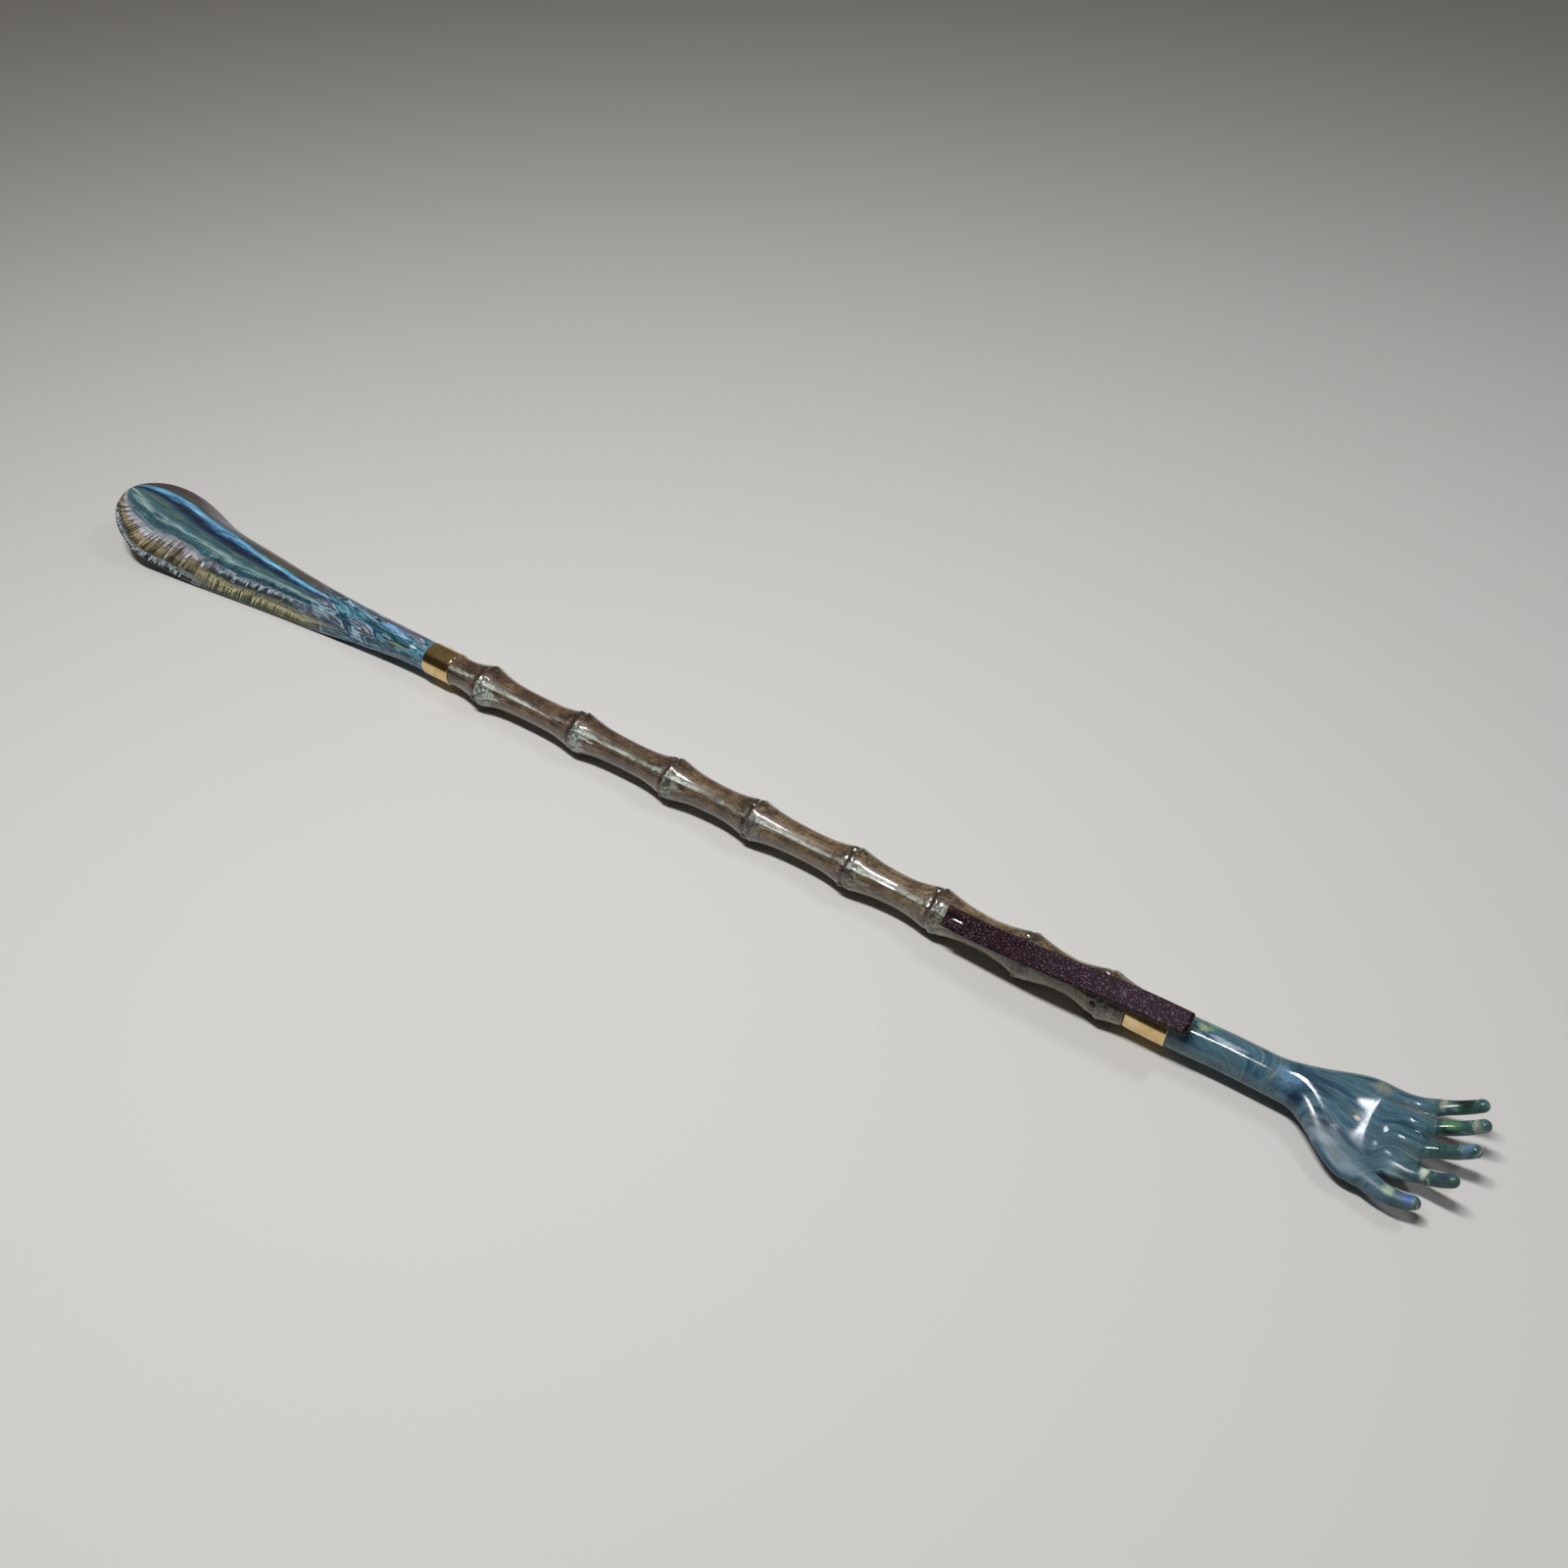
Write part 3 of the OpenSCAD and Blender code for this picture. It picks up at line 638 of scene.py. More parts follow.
# Hand: a smooth field of a forearm that opens to a cupped palm, with five fingers grown out of it
WRIST_FAR = 30
WRIST_NEAR = 37.5
PALM_AT = 61
WEB_FROM = 63.5
WEB_AT = 70.5
KNUCKLE_AT = 78.1
PALM_HALF = 19.25
WEB_HALF = 10.6
ARM_R = 6.4
ARM_LEAN = 0.7
ARM_LEAN_LEN = 20
KNUCKLE_SPREAD = 1.6
PALM_ROUND_FROM = 72
PALM_END = 78
PALM_END_MOST = 1.6
FINGER_SOFT = 1.5
# At the palm and at the knuckles: height over the middle line, depth under it, and how far that line sinks
PALM_UP, KNUCKLE_UP = 5.5, 1.7
PALM_DOWN, KNUCKLE_DOWN = 6.1, 3.0
PALM_SINK, KNUCKLE_SINK = 2.6, 0.7
# The palm's hollow: depth, middle, side, half length towards the wrist and the fingers, and half width
CUP_DEEP = 2.2
CUP_AT = 68
CUP_SIDE = 1
CUP_WRISTWARD, CUP_FINGERWARD = 14, 9
CUP_HALF = 15
CUP_TURN_FROM, CUP_TURN_LEN = 55, 20
# The palm leans towards the thumb from here on, and less at the knuckles
PALM_LEAN = 0.12
PALM_LEAN_FROM, PALM_LEAN_LEN = 45, 15
PALM_LEAN_LOST = 0.6
# The section is round at the forearm and a little squarer at the palm
ARM_POWER, PALM_POWER = 2.0, 2.3
SQUARER_FROM, SQUARER_LEN = 40, 30
# Root, middle and tip of each finger: distance from the ferrule, side and height over the axis
FINGERS = (
    ((69, 15.6, -2.2), (79.5, 20.9, -2.2), (86.9, 22.3, 4.7)),
    ((67, 8.8, -2.6), (80.5, 13.5, -4.2), (89.2, 15.3, 4.9)),
    ((67, 2.4, -2.6), (81, 4.6, -4.9), (89.4, 5.2, 4.9)),
    ((66, -3.9, -2.8), (79.5, -6.6, -5.1), (86.7, -8.1, 4.6)),
    ((54, -8.5, -3.4), (70.5, -20.1, -4.1), (80.2, -17.2, -0.8)),
)
FINGER_ROOT_R = (2.5, 2.7, 2.7, 2.6, 4.4)
# Fingers are wider than high where they leave the palm
FINGER_ROOT_WIDE = (0.75, 0.7, 0.68, 0.68, 1)
FINGER_ROUND_FROM, FINGER_ROUND_LEN = 75, 6
FINGER_TIP_R = 2.05
FINGER_TAPER = 0.9
FINGER_SPOTS = 13
# The skin's grid, and how its points settle onto the field
SKIN_LOW, SKIN_HIGH = (-0.6, -25, -12), (94, 28, 12)
SKIN_STEP = 0.5
SETTLE_ROUNDS = 4
NUDGE = 0.05
LEAST_TILT = 0.2
# The marbling runs slantwise on the forearm, in arcs from the wrist and in a fan over the palm
ARCS_FROM, ARCS_LEN = 18, 14
FAN_FROM, FAN_LEN = 34, 16


def far_edge(q):
    arm = ARM_R + ARM_LEAN * ease(q / ARM_LEAN_LEN)
    wide = mix(arm, PALM_HALF, ease((q - WRIST_FAR) / (PALM_AT - WRIST_FAR)))
    return wide + KNUCKLE_SPREAD * ease((q - PALM_AT) / (KNUCKLE_AT - PALM_AT))


def near_edge(q):
    arm = ARM_R - ARM_LEAN * ease(q / ARM_LEAN_LEN)
    wide = mix(arm, PALM_HALF, ease((q - WRIST_NEAR) / (PALM_AT - WRIST_NEAR)))
    return wide - (PALM_HALF - WEB_HALF) * ease((q - WEB_FROM) / (WEB_AT - WEB_FROM))


def smooth_min(a, b, soft):
    h = np.clip(0.5 + 0.5 * (b - a) / soft, 0, 1)
    return mix(b, a, h) - soft * h * (1 - h)


def finger_way(path, t):
    a, b, c = (np.array(p, float) for p in path)
    t = t[:, None]
    return (1 - t) ** 2 * a + 2 * t * (1 - t) * b + t * t * c


def hand_field(p):
    """About the distance of points from the hand's skin in millimetres, below zero inside."""
    q, y, z = p[:, 0], p[:, 1], p[:, 2]
    half = (far_edge(q) + near_edge(q)) / 2
    middle = (far_edge(q) - near_edge(q)) / 2
    opening = ease((q - WRIST_FAR) / (PALM_AT - WRIST_FAR))
    closing = ease((q - PALM_AT) / (KNUCKLE_AT - PALM_AT))
    drop = -PALM_SINK * opening - KNUCKLE_SINK * closing
    # The cup is a soft hollow in the palm
    cup_half = mix(CUP_WRISTWARD, CUP_FINGERWARD, ease((q - CUP_TURN_FROM) / CUP_TURN_LEN))
    cup = CUP_DEEP * np.exp(-(((q - CUP_AT) / cup_half) ** 2) - ((y - CUP_SIDE) / CUP_HALF) ** 2)
    leaning = ease((q - PALM_LEAN_FROM) / PALM_LEAN_LEN)
    lean = PALM_LEAN * (y - middle) * leaning * (1 - PALM_LEAN_LOST * closing)
    lift = mix(mix(ARM_R, PALM_UP, opening), KNUCKLE_UP, closing) - cup + lean
    back = mix(mix(ARM_R, PALM_DOWN, opening), KNUCKLE_DOWN, closing)
    tall = np.where(z > drop, lift, back)
    # The palm ends in a round edge under the roots of the fingers
    end = np.clip((q - PALM_ROUND_FROM) / (PALM_END - PALM_ROUND_FROM), 0, PALM_END_MOST)
    ey, ez = (y - middle) / half, (z - drop) / tall
    power = mix(ARM_POWER, PALM_POWER, ease((q - SQUARER_FROM) / SQUARER_LEN))
    size = (np.abs(ey) ** power + np.abs(ez) ** power + end**2) ** (1 / power)
    slope = np.sqrt((ey / half) ** 2 + (ez / tall) ** 2) / np.maximum(np.hypot(ey, ez), 1e-6)
    skin = (size - 1) / np.maximum(slope, 0.05)
    for path, root_r, root_wide in zip(FINGERS, FINGER_ROOT_R, FINGER_ROOT_WIDE):
        wide = mix(root_wide, 1, ease((q - FINGER_ROUND_FROM) / FINGER_ROUND_LEN))
        t = np.linspace(0, 1, FINGER_SPOTS)
        way = finger_way(path, t)
        radius = mix(root_r, FINGER_TIP_R, t**FINGER_TAPER)
        finger = np.full(len(p), 1e3)
        for i in range(len(t) - 1):
            span = way[i + 1] - way[i]
            share = np.clip((p - way[i]) @ span / (span @ span), 0, 1)
            away = p - way[i] - share[:, None] * span
            away[:, 1] *= wide
            away = np.linalg.norm(away, axis=1)
            finger = np.minimum(finger, away - mix(radius[i], radius[i + 1], share))
        skin = smooth_min(skin, finger, FINGER_SOFT)
    return skin


def skin_of(field, low, high, step):
    """A quad skin over the zero level of a field, with its points settled onto that level."""
    axes = [np.arange(a, b, step) for a, b in zip(low, high)]
    grid = np.stack(np.meshgrid(*axes, indexing="ij"), -1)
    values = field(grid.reshape(-1, 3)).reshape(grid.shape[:3])
    cells = np.array(values.shape) - 1
    total = np.zeros((cells.prod(), 3))
    count = np.zeros(cells.prod())
    quads = []
    for axis in range(3):
        b, c = (axis + 1) % 3, (axis + 2) % 3
        first = np.take(values, range(values.shape[axis] - 1), axis)
        second = np.take(values, range(1, values.shape[axis]), axis)
        at = np.argwhere((first < 0) != (second < 0))
        at = at[(at[:, b] > 0) & (at[:, b] < cells[b]) & (at[:, c] > 0) & (at[:, c] < cells[c])]
        v0, v1 = first[tuple(at.T)], second[tuple(at.T)]
        point = at.astype(float)
        point[:, axis] += v0 / (v0 - v1)
        corners = []
        for db, dc in ((0, 0), (1, 0), (1, 1), (0, 1)):
            cell = at.copy()
            cell[:, b] -= db
            cell[:, c] -= dc
            flat = np.ravel_multi_index(cell.T, cells)
            np.add.at(total, flat, point)
            np.add.at(count, flat, 1)
            corners.append(flat)
        quad = np.stack(corners, 1)
        quads.append(np.where((v0 < 0)[:, None], quad, quad[:, ::-1]))
    quads = np.concatenate(quads)
    used = np.flatnonzero(count)
    number = np.zeros(len(count), int)
    number[used] = np.arange(len(used))
    points = total[used] / count[used][:, None] * step + np.array(low)
    quads = number[quads]
    edges = np.concatenate([quads[:, [i, (i + 1) % 4]] for i in range(4)])
    for _ in range(SETTLE_ROUNDS):
        pulled = np.zeros_like(points)
        links = np.zeros(len(points))
        np.add.at(pulled, edges[:, 0], points[edges[:, 1]])
        np.add.at(links, edges[:, 0], 1)
        points = mix(points, pulled / links[:, None], 0.5)
        gap = field(points)
        nudges = NUDGE * np.eye(3)
        tilt = np.stack([field(points + n) - field(points - n) for n in nudges], 1) / (2 * NUDGE)
        points -= gap[:, None] * tilt / np.maximum((tilt**2).sum(1), LEAST_TILT)[:, None]
    return points, quads


def make_hand(material):
    points, quads = skin_of(hand_field, SKIN_LOW, SKIN_HIGH, SKIN_STEP)
    q, y = points[:, 0], points[:, 1]
    half = (far_edge(q) + near_edge(q)) / 2
    fan = 14 * (y - (far_edge(q) - near_edge(q)) / 2) / half
    arcs = 0.9 * (q - 24) + 0.06 * y * y + 7
    slant = 1.1 * y + 0.3 * q
    line = mix(slant, arcs, ease((q - ARCS_FROM) / ARCS_LEN))
    line = mix(line, fan + 20, ease((q - FAN_FROM) / FAN_LEN))
    flow = np.stack([line, q, points[:, 2]], 1)
    points = points + np.array([HAND_START, 0, AXIS_H])
    obj = piece("scratcher_hand_resin", points, quads.tolist(), material)
    keep(obj, "flow", flow, "FLOAT_VECTOR")
    return obj


# Handle: a line of points with the bamboo's radius, swept by a Geometry Nodes tree
SEAM_TURN = math.radians(47.5)
SEAM_REACH = math.radians(40)
GROOVE_AT = 1.2
GROOVE_WIDE = 0.9
GROOVE_DEEP = 0.32
BUD_BEFORE = 1.6
# How far a knot's close stations, its specks and its bare wood reach, and where the bare wood starts
KNOT_REACH = 6
SPECK_REACH = 4.5
SHOULDER_LEN = 7
SHOULDER_FROM = -0.2
STATION = 0.25
# Turn of the root buds round each knot, from straight up towards the thumb's side, in degrees
BUD_TURNS = ((-60, 100), (-22, 150), (-18, 120), (2, 118), (-20, 112), (-16, 170), (-12, 130), (-14, 80))


def waist_r(u):
    return mix(WAIST_R, HANDLE_END_R, np.exp(-np.minimum(u, HANDLE_LEN - u) / FLARE_HORN))


def bamboo_r(u):
    swell = np.zeros_like(u)
    for share, less in zip(KNOT_SHARE, KNOT_LESS):
        d = u - share * HANDLE_LEN
        flare = np.where(d < 0, FLARE_HORN, FLARE_HAND)
        knot = (KNOT_R - less - waist_r(u)) * np.exp(-((np.abs(d) / flare) ** FLARE_POWER))
        swell = np.maximum(swell, knot)
    return waist_r(u) + swell


SOCKETS = {int: "NodeSocketInt", float: "NodeSocketFloat", bpy.types.Material: "NodeSocketMaterial"}


def sweep_tree(name, values):
    """Starts a Geometry Nodes tree with an input for each named value.

    Gives the tree, the call that adds a node to it, its inputs and their identifiers.
    """
    tree = bpy.data.node_groups.new(name, "GeometryNodeTree")
    tree.interface.new_socket("Geometry", in_out="INPUT", socket_type="NodeSocketGeometry")
    names = {}
    for label, value in values.items():
        kind = SOCKETS[type(value)]
        names[label] = tree.interface.new_socket(label, in_out="INPUT", socket_type=kind).identifier
    tree.interface.new_socket("Geometry", in_out="OUTPUT", socket_type="NodeSocketGeometry")
    node = partial(add, tree)
    return tree, node, node("NodeGroupInput", out=None).outputs, names


def finish_tree(node, skin, given):
    """Ends a tree: smooth faces, its finish, and real geometry."""
    skin = node("GeometryNodeSetShadeSmooth", {"Geometry": skin})
    skin = node("GeometryNodeRealizeInstances", {0: skin})
    skin = node("GeometryNodeSetMaterial", {"Geometry": skin, "Material": given["Finish"]})
    node("NodeGroupOutput", {"Geometry": skin}, out=None)


def grown(obj, tree, names, values):
    """Runs a tree on an object with its values and keeps the result as the object's plain mesh."""
    modifier = obj.modifiers.new(tree.name, "NODES")
    modifier.node_group = tree
    for label, value in values.items():
        modifier[names[label]] = value
    graph = bpy.context.evaluated_depsgraph_get()
    swept = obj.evaluated_get(graph)
    mesh = bpy.data.meshes.new_from_object(swept, preserve_all_data_layers=True, depsgraph=graph)
    mesh.name = obj.name
    obj.modifiers.remove(modifier)
    obj.data = mesh
    return obj


def bamboo_tree(values):
    """Sweeps a ring along the bamboo's line and raises its two seams, root buds and lumpy knots."""
    tree, node, given, names = sweep_tree("bamboo_sweep", values)
    radius, knot, bud = (
        node("GeometryNodeInputNamedAttribute", {"Name": name}, data_type="FLOAT")
        for name in ("radius", "knot", "bud")
    )
    split = node("GeometryNodeSeparateGeometry", (given["Geometry"], bud), domain="POINT", out=None)
    line = node("GeometryNodeMeshToCurve", {0: split.outputs[1]})
    line = node("GeometryNodeSetCurveRadius", {"Curve": line, "Radius": radius})
    ring = node("GeometryNodeCurvePrimitiveCircle", {"Resolution": given["Sides"], "Radius": 1.0})
    sweep = {"Curve": line, "Profile Curve": ring, "Scale": radius, "Fill Caps": True}
    sweep = node("GeometryNodeCurveToMesh", sweep)
    place = node("GeometryNodeInputPosition")
    parts = node("SeparateXYZ", {0: place}, out=None).outputs
    out_y = node("Math", (parts[1], -1.0), operation="MULTIPLY")
    out_z = node("Math", (parts[2], given["Axis height"]), operation="SUBTRACT")
    angle = node("Math", (out_y, out_z), operation="ARCTAN2")
    # The seam is met twice, on opposite sides: it rises slowly and ends in a sharp step
    off = node("Math", (angle, SEAM_TURN), operation="SUBTRACT")
    off = node("Math", (off, math.pi / 2, -math.pi / 2), operation="WRAP")
    share = node("MapRange", (off, -SEAM_REACH, SEAM_REACH))
    seam = drawn_curve(
        node("FloatCurve", {"Value": share}, out=None),
        ((0, 0), (0.28, 0), (0.46, 0.75), (0.495, 1), (0.53, 0.1), (0.6, 0), (1, 0)),
    )
    raised = node("Math", (seam, given["Seam height"]), operation="MULTIPLY")
    # Lumps are deep at the knots, and a tenth as deep elsewhere
    noise = {"Vector": place, "Scale": given["Lumps per metre"], "Detail": 3}
    noise = node("TexNoise", noise)
    lump = node("Math", (noise, 0.75), operation="SUBTRACT")
    lump = node("Math", (lump, given["Lump depth"]), operation="MULTIPLY")
    part = node("Math", (knot, 0.9, 0.1), operation="MULTIPLY_ADD")
    raised = node("Math", (lump, part, raised), operation="MULTIPLY_ADD")
    # A bud is a dome in a ring-shaped groove; 0.3 on its curve is the plain surface
    away = node("GeometryNodeProximity", {0: split.outputs[0]}, target_element="POINTS", out="Distance")
    away = node("Math", (away, given["Bud radius"]), operation="DIVIDE")
    away = node("Math", (away, 0.5), operation="MULTIPLY")
    dome = drawn_curve(
        node("FloatCurve", {"Value": away}, out=None),
        ((0, 1), (0.25, 0.9), (0.45, 0.3), (0.58, 0.05), (0.72, 0.25), (0.85, 0.3), (1, 0.3)),
    )
    bump = node("Math", (dome, 0.3), operation="SUBTRACT")
    raised = node("Math", (bump, given["Bud height"], raised), operation="MULTIPLY_ADD")
    normal = node("GeometryNodeInputNormal")
    offset = node("VectorMath", {0: normal, "Scale": raised}, operation="SCALE")
    skin = {"Geometry": sweep, "Name": "turn", "Value": off}
    skin = node("GeometryNodeStoreNamedAttribute", skin, data_type="FLOAT")
    skin = node("GeometryNodeSetPosition", {"Geometry": skin, "Offset": offset})
    finish_tree(node, skin, given)
    return tree, names


def make_handle(material):
    crests = np.array(KNOT_SHARE) * HANDLE_LEN
    # Stations lie on a quarter-millimetre scale: every one of them at a knot, every third elsewhere
    close = (crests[:, None] + np.arange(-KNOT_REACH, KNOT_REACH + STATION, STATION)).ravel()
    u = np.concatenate([np.arange(0, HANDLE_LEN, 3 * STATION), close, [HANDLE_LEN]])
    u = np.unique(np.round(u / STATION)) * STATION
    u = u[(u >= 0) & (u <= HANDLE_LEN)]
    off = u[:, None] - crests[None, :]
    nearest = off[np.arange(len(u)), np.abs(off).argmin(1)]
    radius = bamboo_r(u) - GROOVE_DEEP * np.exp(-(((nearest + GROOVE_AT) / GROOVE_WIDE) ** 2))
    knot = np.exp(-((nearest / SPECK_REACH) ** 2))
    groove = np.exp(-(((nearest + GROOVE_AT) / (1.4 * GROOVE_WIDE)) ** 2))
    shoulder = np.where(nearest > SHOULDER_FROM, np.exp(-np.maximum(nearest, 0) / SHOULDER_LEN), 0)
    # A spigot of two stations at each end
    along = np.concatenate([[-SPIGOT_LEN, -0.01], u, [HANDLE_LEN + 0.01, HANDLE_LEN + SPIGOT_LEN]])
    points = [(HANDLE_START + a, 0, AXIS_H) for a in along]
    buds = []
    for crest, turns in zip(crests, BUD_TURNS):
        r = float(bamboo_r(np.array([crest - BUD_BEFORE]))[0])
        for t in np.radians(turns):
            buds.append((HANDLE_START + crest - BUD_BEFORE, -r * math.sin(t), AXIS_H + r * math.cos(t)))
    mesh = bpy.data.meshes.new("bamboo_line")
    edges = [(i, i + 1) for i in range(len(points) - 1)]
    mesh.from_pydata((np.array(points + buds) * MM).tolist(), edges, [])
    obj = placed("bamboo_handle_lacquered", mesh)
    keep(obj, "radius", np.pad(np.pad(radius, 2, constant_values=SPIGOT_R) * MM, (0, len(buds))))
    for name, values in (("knot", knot), ("shoulder", shoulder), ("groove", groove)):
        keep(obj, name, np.pad(values, (2, 2 + len(buds))))
    keep(obj, "bud", np.repeat([0, 1], [len(points), len(buds)]))
    values = {
        "Sides": 112, "Axis height": AXIS_H * MM, "Seam height": 0.3 * MM, "Lump depth": 0.8 * MM,
        "Lumps per metre": 300.0, "Bud radius": 1.5 * MM, "Bud height": 1.1 * MM, "Finish": material,
    }
    return grown(obj, *bamboo_tree(values), values)


# Ferrules: brass tubes with rolled ends
FERRULE_LEN = HANDLE_START - HORN_END
FERRULE_SIDES = 96


def make_ferrule(name, start, handle_side, material):
    """A tube whose end towards the bamboo is rolled over a little more than the other."""
    # Distance from each end and step below the outer face
    plain = ((0, 0.25), (0.07, 0.09), (0.22, 0.01), (0.5, 0))
    rolled = ((1.0, 0.01), (0.75, 0.08), (0.55, 0), (0.3, 0), (0.1, 0.09), (0, 0.25))
    profile = [(0, FERRULE_BORE_R)] + [(x, FERRULE_R - down) for x, down in plain]
    profile += [(x, FERRULE_R) for x in np.linspace(1, FERRULE_LEN - 1.4, 12)]
    profile += [(FERRULE_LEN - x, FERRULE_R - down) for x, down in rolled] + [(FERRULE_LEN, FERRULE_BORE_R)]
    turns = np.linspace(0, 2 * math.pi, FERRULE_SIDES, endpoint=False)
    points = []
    for x, r in profile:
        at = start + (x if handle_side > 0 else FERRULE_LEN - x)
        points += [(at, r * math.sin(t), AXIS_H + r * math.cos(t)) for t in turns]
    return piece(name, points, ring_faces(len(profile), FERRULE_SIDES, closed=True), material)


# Strap: one strip of leather from its end under the staple, along the handle, round the fold and back
STRAP_TURN = 41
TAB_START = 232.68
FOLD_END = 317.68
# Height of the strap's lower face over the handle's axis, at distances along the handle
STRAP_LOW = (
    (TAB_START, 7.52), (242.28, 7.54), (250, 8.0), (261.05, 9.15), (275, 9.5), (289.06, 9.75), (303, 10.1),
    (FOLD_END, 10.36),
)
FOLD_R = (LAYER_GAP + STRAP_T) / 2
# The strap leans less towards the thumb's side on its way to the fold
LEAN_FROM = 238
LEAN_LEN = 80
LEAN_BY = 17
# The layers are pressed together by the staple and part a little along the loop
PRESSED_TO = 240
PRESSED_EASE = 6
LOOSE_FROM = 245
LOOSE_EASE = 27
LOOSE_END = 25
LOOSE_BY = 0.5
PRESSED_BY = 0.8
STRAP_STATIONS = 130
SETTLED_BENDS = 30
# The slot that the staple has pressed into the upper face
SLOT_FROM = 233.5
SLOT_TO = 240.9
SLOT_DEEP = 0.6
SLOT_HALF = 0.5
SLOT_STEEP = 0.7
SLOT_SLOPE = 0.9
EDGE_ROUND = 0.4
# The cut edge, painted dark as painted shade on the strap's sides: its width on the face and how softly it
# ends
CUT_WIDE = 0.5
CUT_SOFT = 0.4


def strap_turn(u):
    return np.radians(STRAP_TURN - LEAN_BY * ease((u - LEAN_FROM) / LEAN_LEN))


def strap_ways(turned):
    """The ways out of the strap's face and across it, where it is turned about the handle's axis."""
    sine, cosine = math.sin(turned), math.cos(turned)
    return np.array([0, -sine, cosine]), np.array([0, cosine, sine])


def strap_path():
    """Stations along the strip: distance along the handle, height over its axis, and which layer."""
    u = np.linspace(TAB_START, FOLD_END - FOLD_R - STRAP_T / 2, STRAP_STATIONS)
    spots = np.array(STRAP_LOW)
    low = np.interp(u, spots[:, 0], spots[:, 1])
    for _ in range(SETTLED_BENDS):
        low[1:-1] = (low[:-2] + 2 * low[1:-1] + low[2:]) / 4
    lower = low + STRAP_T / 2
    loose = ease((u - LOOSE_FROM) / LOOSE_EASE) * ease((FOLD_END - u) / LOOSE_END)
    pressed = 1 - ease((u - PRESSED_TO) / PRESSED_EASE)
    upper = lower + STRAP_T + LAYER_GAP * (1 - PRESSED_BY * pressed) + LOOSE_BY * loose
    a = np.linspace(0, math.pi, 13)[1:-1]
    half = (upper[-1] - lower[-1]) / 2
    fold = np.stack([u[-1] + half * np.sin(a), (upper[-1] + lower[-1]) / 2 - half * np.cos(a)], 1)
    return np.concatenate([np.stack([u, lower], 1), fold, np.stack([u, upper], 1)[::-1]])


def make_strap(material):
    way = strap_path()
    tangent = np.gradient(way, axis=0)
    tangent /= np.linalg.norm(tangent, axis=1)[:, None]
    # The strip's section, with rounded edges: across and up
    across = np.linspace(-1, 1, 25)
    corner = np.radians([0, 22, 45, 68, 90])
    w, t = STRAP_W / 2, STRAP_T / 2
    flat_w, flat_t = w - EDGE_ROUND, t - EDGE_ROUND
    section = [(flat_w * a, t) for a in across]
    section += [(flat_w + EDGE_ROUND * math.sin(c), flat_t + EDGE_ROUND * math.cos(c)) for c in corner[1:]]
    section += [(x, -y) for x, y in section[::-1][: len(corner) - 1]]
    section += [(-x, -t) for x, _ in section[: len(across)]]
    section += [(-x, -y) for x, y in section[len(across) : len(across) + 2 * len(corner) - 2]]
    section = np.array(section)
    upper = np.arange(len(way)) > len(way) // 2
    points = []
    for (u, n), (du, dn), top in zip(way, tangent, upper):
        out, side = strap_ways(strap_turn(u))
        lift = np.array([-dn, 0, 0]) + du * out
        for x, y in section:
            spot = np.array([HANDLE_START + u, 0, AXIS_H]) + n * out + x * side + y * lift
            # The staple has pressed a slot into the upper face
            if top and y < 0:
                slot = ease((u - SLOT_FROM) / SLOT_STEEP) * ease((SLOT_TO - u) / SLOT_SLOPE)
                slot *= 1 - ease((abs(x) - SLOT_HALF) / SLOT_SLOPE)
                spot = spot - SLOT_DEEP * slot * out
            points.append(spot)
    sides = len(section)
    faces = ring_faces(len(way), sides)
    faces.append(tuple(range(sides)))
    faces.append(tuple(range((len(way) - 1) * sides, len(way) * sides)))
    obj = piece("leather_hanging_strap", points, faces, material)
    edge = ease((np.abs(section[:, 0]) - w + CUT_WIDE) / CUT_SOFT)
    keep(obj, "cut", np.tile(edge, len(way)))
    return obj


# Staple: a bent wire whose crown lies in the leather and whose legs go into the bamboo
LEG_SPOTS = (235.33, 239.63)
CROWN_N = 9.85
LEG_END_N = 2.8


def wire_tree(values):
    """Rounds the corners of a line and sweeps a round wire along it."""
    tree, node, given, names = sweep_tree("bent_wire", values)
    line = node("GeometryNodeMeshToCurve", {0: given["Geometry"]})
    bend = {"Curve": line, "Radius": given["Bend radius"], "Count": 6}
    line = node("GeometryNodeFilletCurve", bend, mode="POLY")
    ring = {"Resolution": given["Sides"], "Radius": given["Wire radius"]}
    ring = node("GeometryNodeCurvePrimitiveCircle", ring)
    sweep = {"Curve": line, "Profile Curve": ring, "Fill Caps": True}
    finish_tree(node, node("GeometryNodeCurveToMesh", sweep), given)
    return tree, names


def make_staple(material):
    out, _ = strap_ways(math.radians(STRAP_TURN))
    first, second = LEG_SPOTS
    corners = ((first, LEG_END_N), (first, CROWN_N), (second, CROWN_N), (second, LEG_END_N))
    points = [np.array([HANDLE_START + u, 0, AXIS_H]) + n * out for u, n in corners]
    mesh = bpy.data.meshes.new("staple_line")
    mesh.from_pydata((np.array(points) * MM).tolist(), [(0, 1), (1, 2), (2, 3)], [])
    obj = placed("strap_staple_wire", mesh)
    values = {"Wire radius": WIRE_R * MM, "Bend radius": 0.7 * MM, "Sides": 20, "Finish": material}
    return grown(obj, *wire_tree(values), values)


# A plain pale floor
def make_floor():
    material, _ = shader("pale_floor")
    surfaced(material, {"Base Color": linear("cbcbca"), "Roughness": 0.9})
    mesh = bpy.data.meshes.new("floor")
    half = 6
    corners = [(-half, -half, 0), (half, -half, 0), (half, half, 0), (-half, half, 0)]
    mesh.from_pydata(corners, [], [(0, 1, 2, 3)])
    mesh.materials.append(material)
    floor = placed("floor", mesh)


make_floor()
blade = make_blade(horn_resin())
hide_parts("shoehorn_blade")
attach(blade, "stick")

hand = make_hand(hand_resin())
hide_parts("scratcher_hand")
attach(hand, "stick")

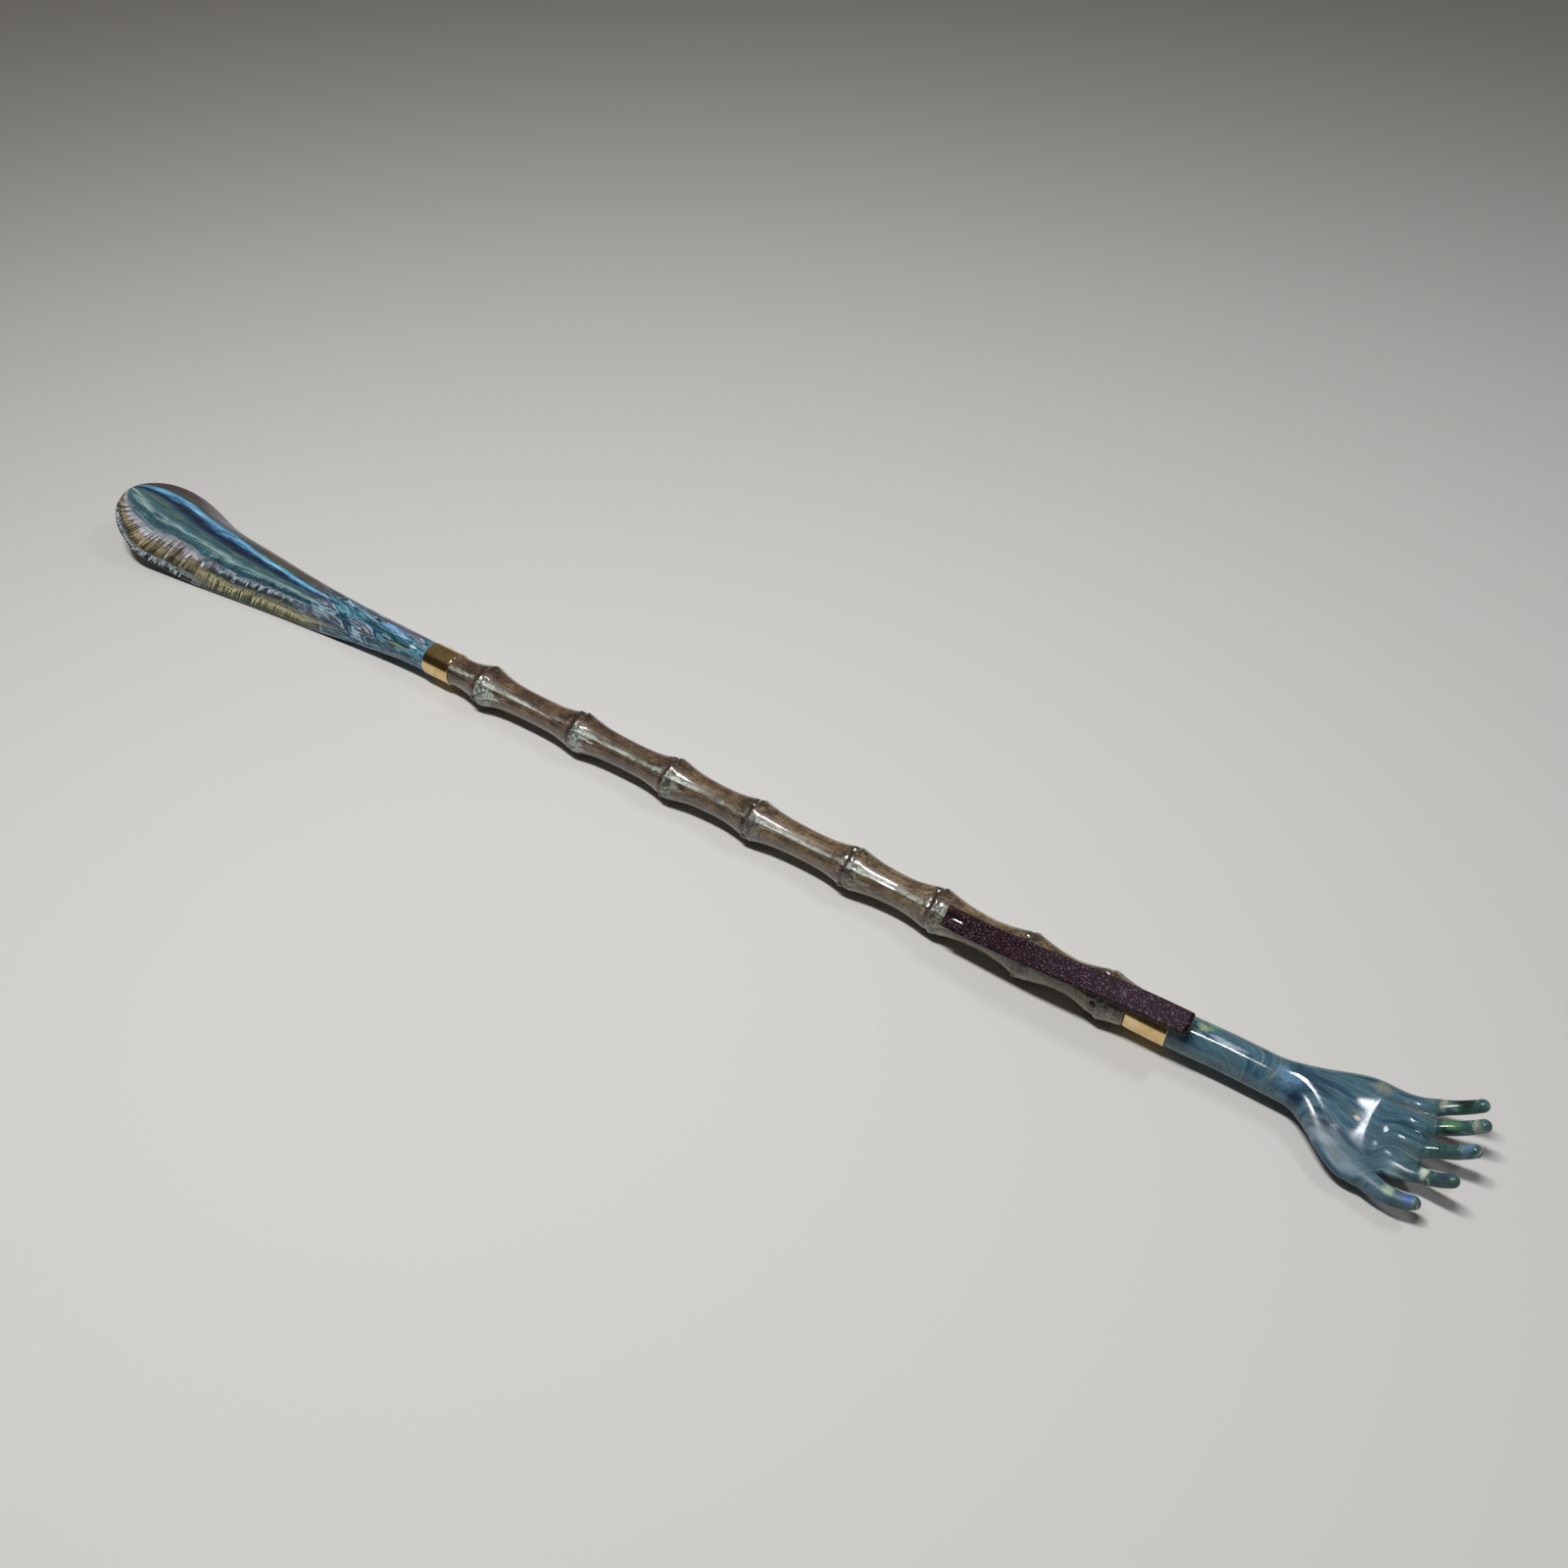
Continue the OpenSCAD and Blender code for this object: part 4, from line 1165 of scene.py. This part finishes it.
handle = make_handle(bamboo_lacquer())
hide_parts("bamboo_handle")
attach(handle, "stick")

brass = ferrule_brass()
for node, start, handle_side in (("shoehorn_ferrule", HORN_END, 1), ("hand_ferrule", HANDLE_END, -1)):
    tube = make_ferrule(node + "_brass", start, handle_side, brass)
    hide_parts(node)
    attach(tube, "stick")

strap = make_strap(strap_leather())
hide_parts("strap_tab", "strap_loop")
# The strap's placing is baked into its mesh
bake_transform(strap)

staple = make_staple(drawn_steel("bright_staple_wire", 0.12, 0.25, "d3d4d6"))
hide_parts("strap_staple")
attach(staple, "stick")

stud_steel = drawn_steel("plain_steel_stud", 0.3, 0.5, "9c9c9e")
for node in ("shoehorn_stud", "hand_stud"):
    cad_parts[node].data.materials.clear()
    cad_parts[node].data.materials.append(stud_steel)


# Two plain lamps: a long bar overhead, and a smaller weak one past the hand
def make_lamp(name, place, turn_x, size, power, colour):
    light = bpy.data.lights.new(name, "AREA")
    light.shape = "RECTANGLE"
    light.size, light.size_y = size
    light.energy = power
    light.color = linear(colour)[:3]
    lamp = placed(name, light)
    lamp.location = place
    lamp.rotation_euler = (math.radians(turn_x), 0, 0)


make_lamp("overhead_bar", (-0.02, -0.18, 0.9), 11, (0.4, 0.08), 7.8, "fffdfa")
make_lamp("back_lamp", (0.48, 0.43, 0.9), -26, (0.06, 0.24), 1.5, "f4f8ff")


# Soft studio surroundings: a pale wall and ceiling, dim on the camera's side
def make_world():
    world = bpy.data.worlds.new("studio")
    world.use_nodes = True
    node = partial(add, world.node_tree)
    way = node("TexCoord", out="Generated")
    lean = node("VectorMath", (way, (0, 0.75, 0.66)), operation="DOT_PRODUCT", out="Value")
    share = node("MapRange", (lean, 0.0, 0.25))
    glow = bands(
        node("ValToRGB", {0: share}, out=None),
        {0.0: "42403e", 1.0: "8c877f"},
    )
    # The camera sees a plain backdrop of one tone
    seen = node("LightPath", out="Is Camera Ray")
    glow = node("Mix", {0: seen, 6: glow, 7: linear("74726d")}, data_type="RGBA", out=2)
    back = world.node_tree.nodes["Background"]
    world.node_tree.links.new(glow, back.inputs["Color"])
    back.inputs["Strength"].default_value = 0.5
    bpy.context.scene.world = world


make_world()
bpy.context.scene.view_settings.view_transform = "Standard"
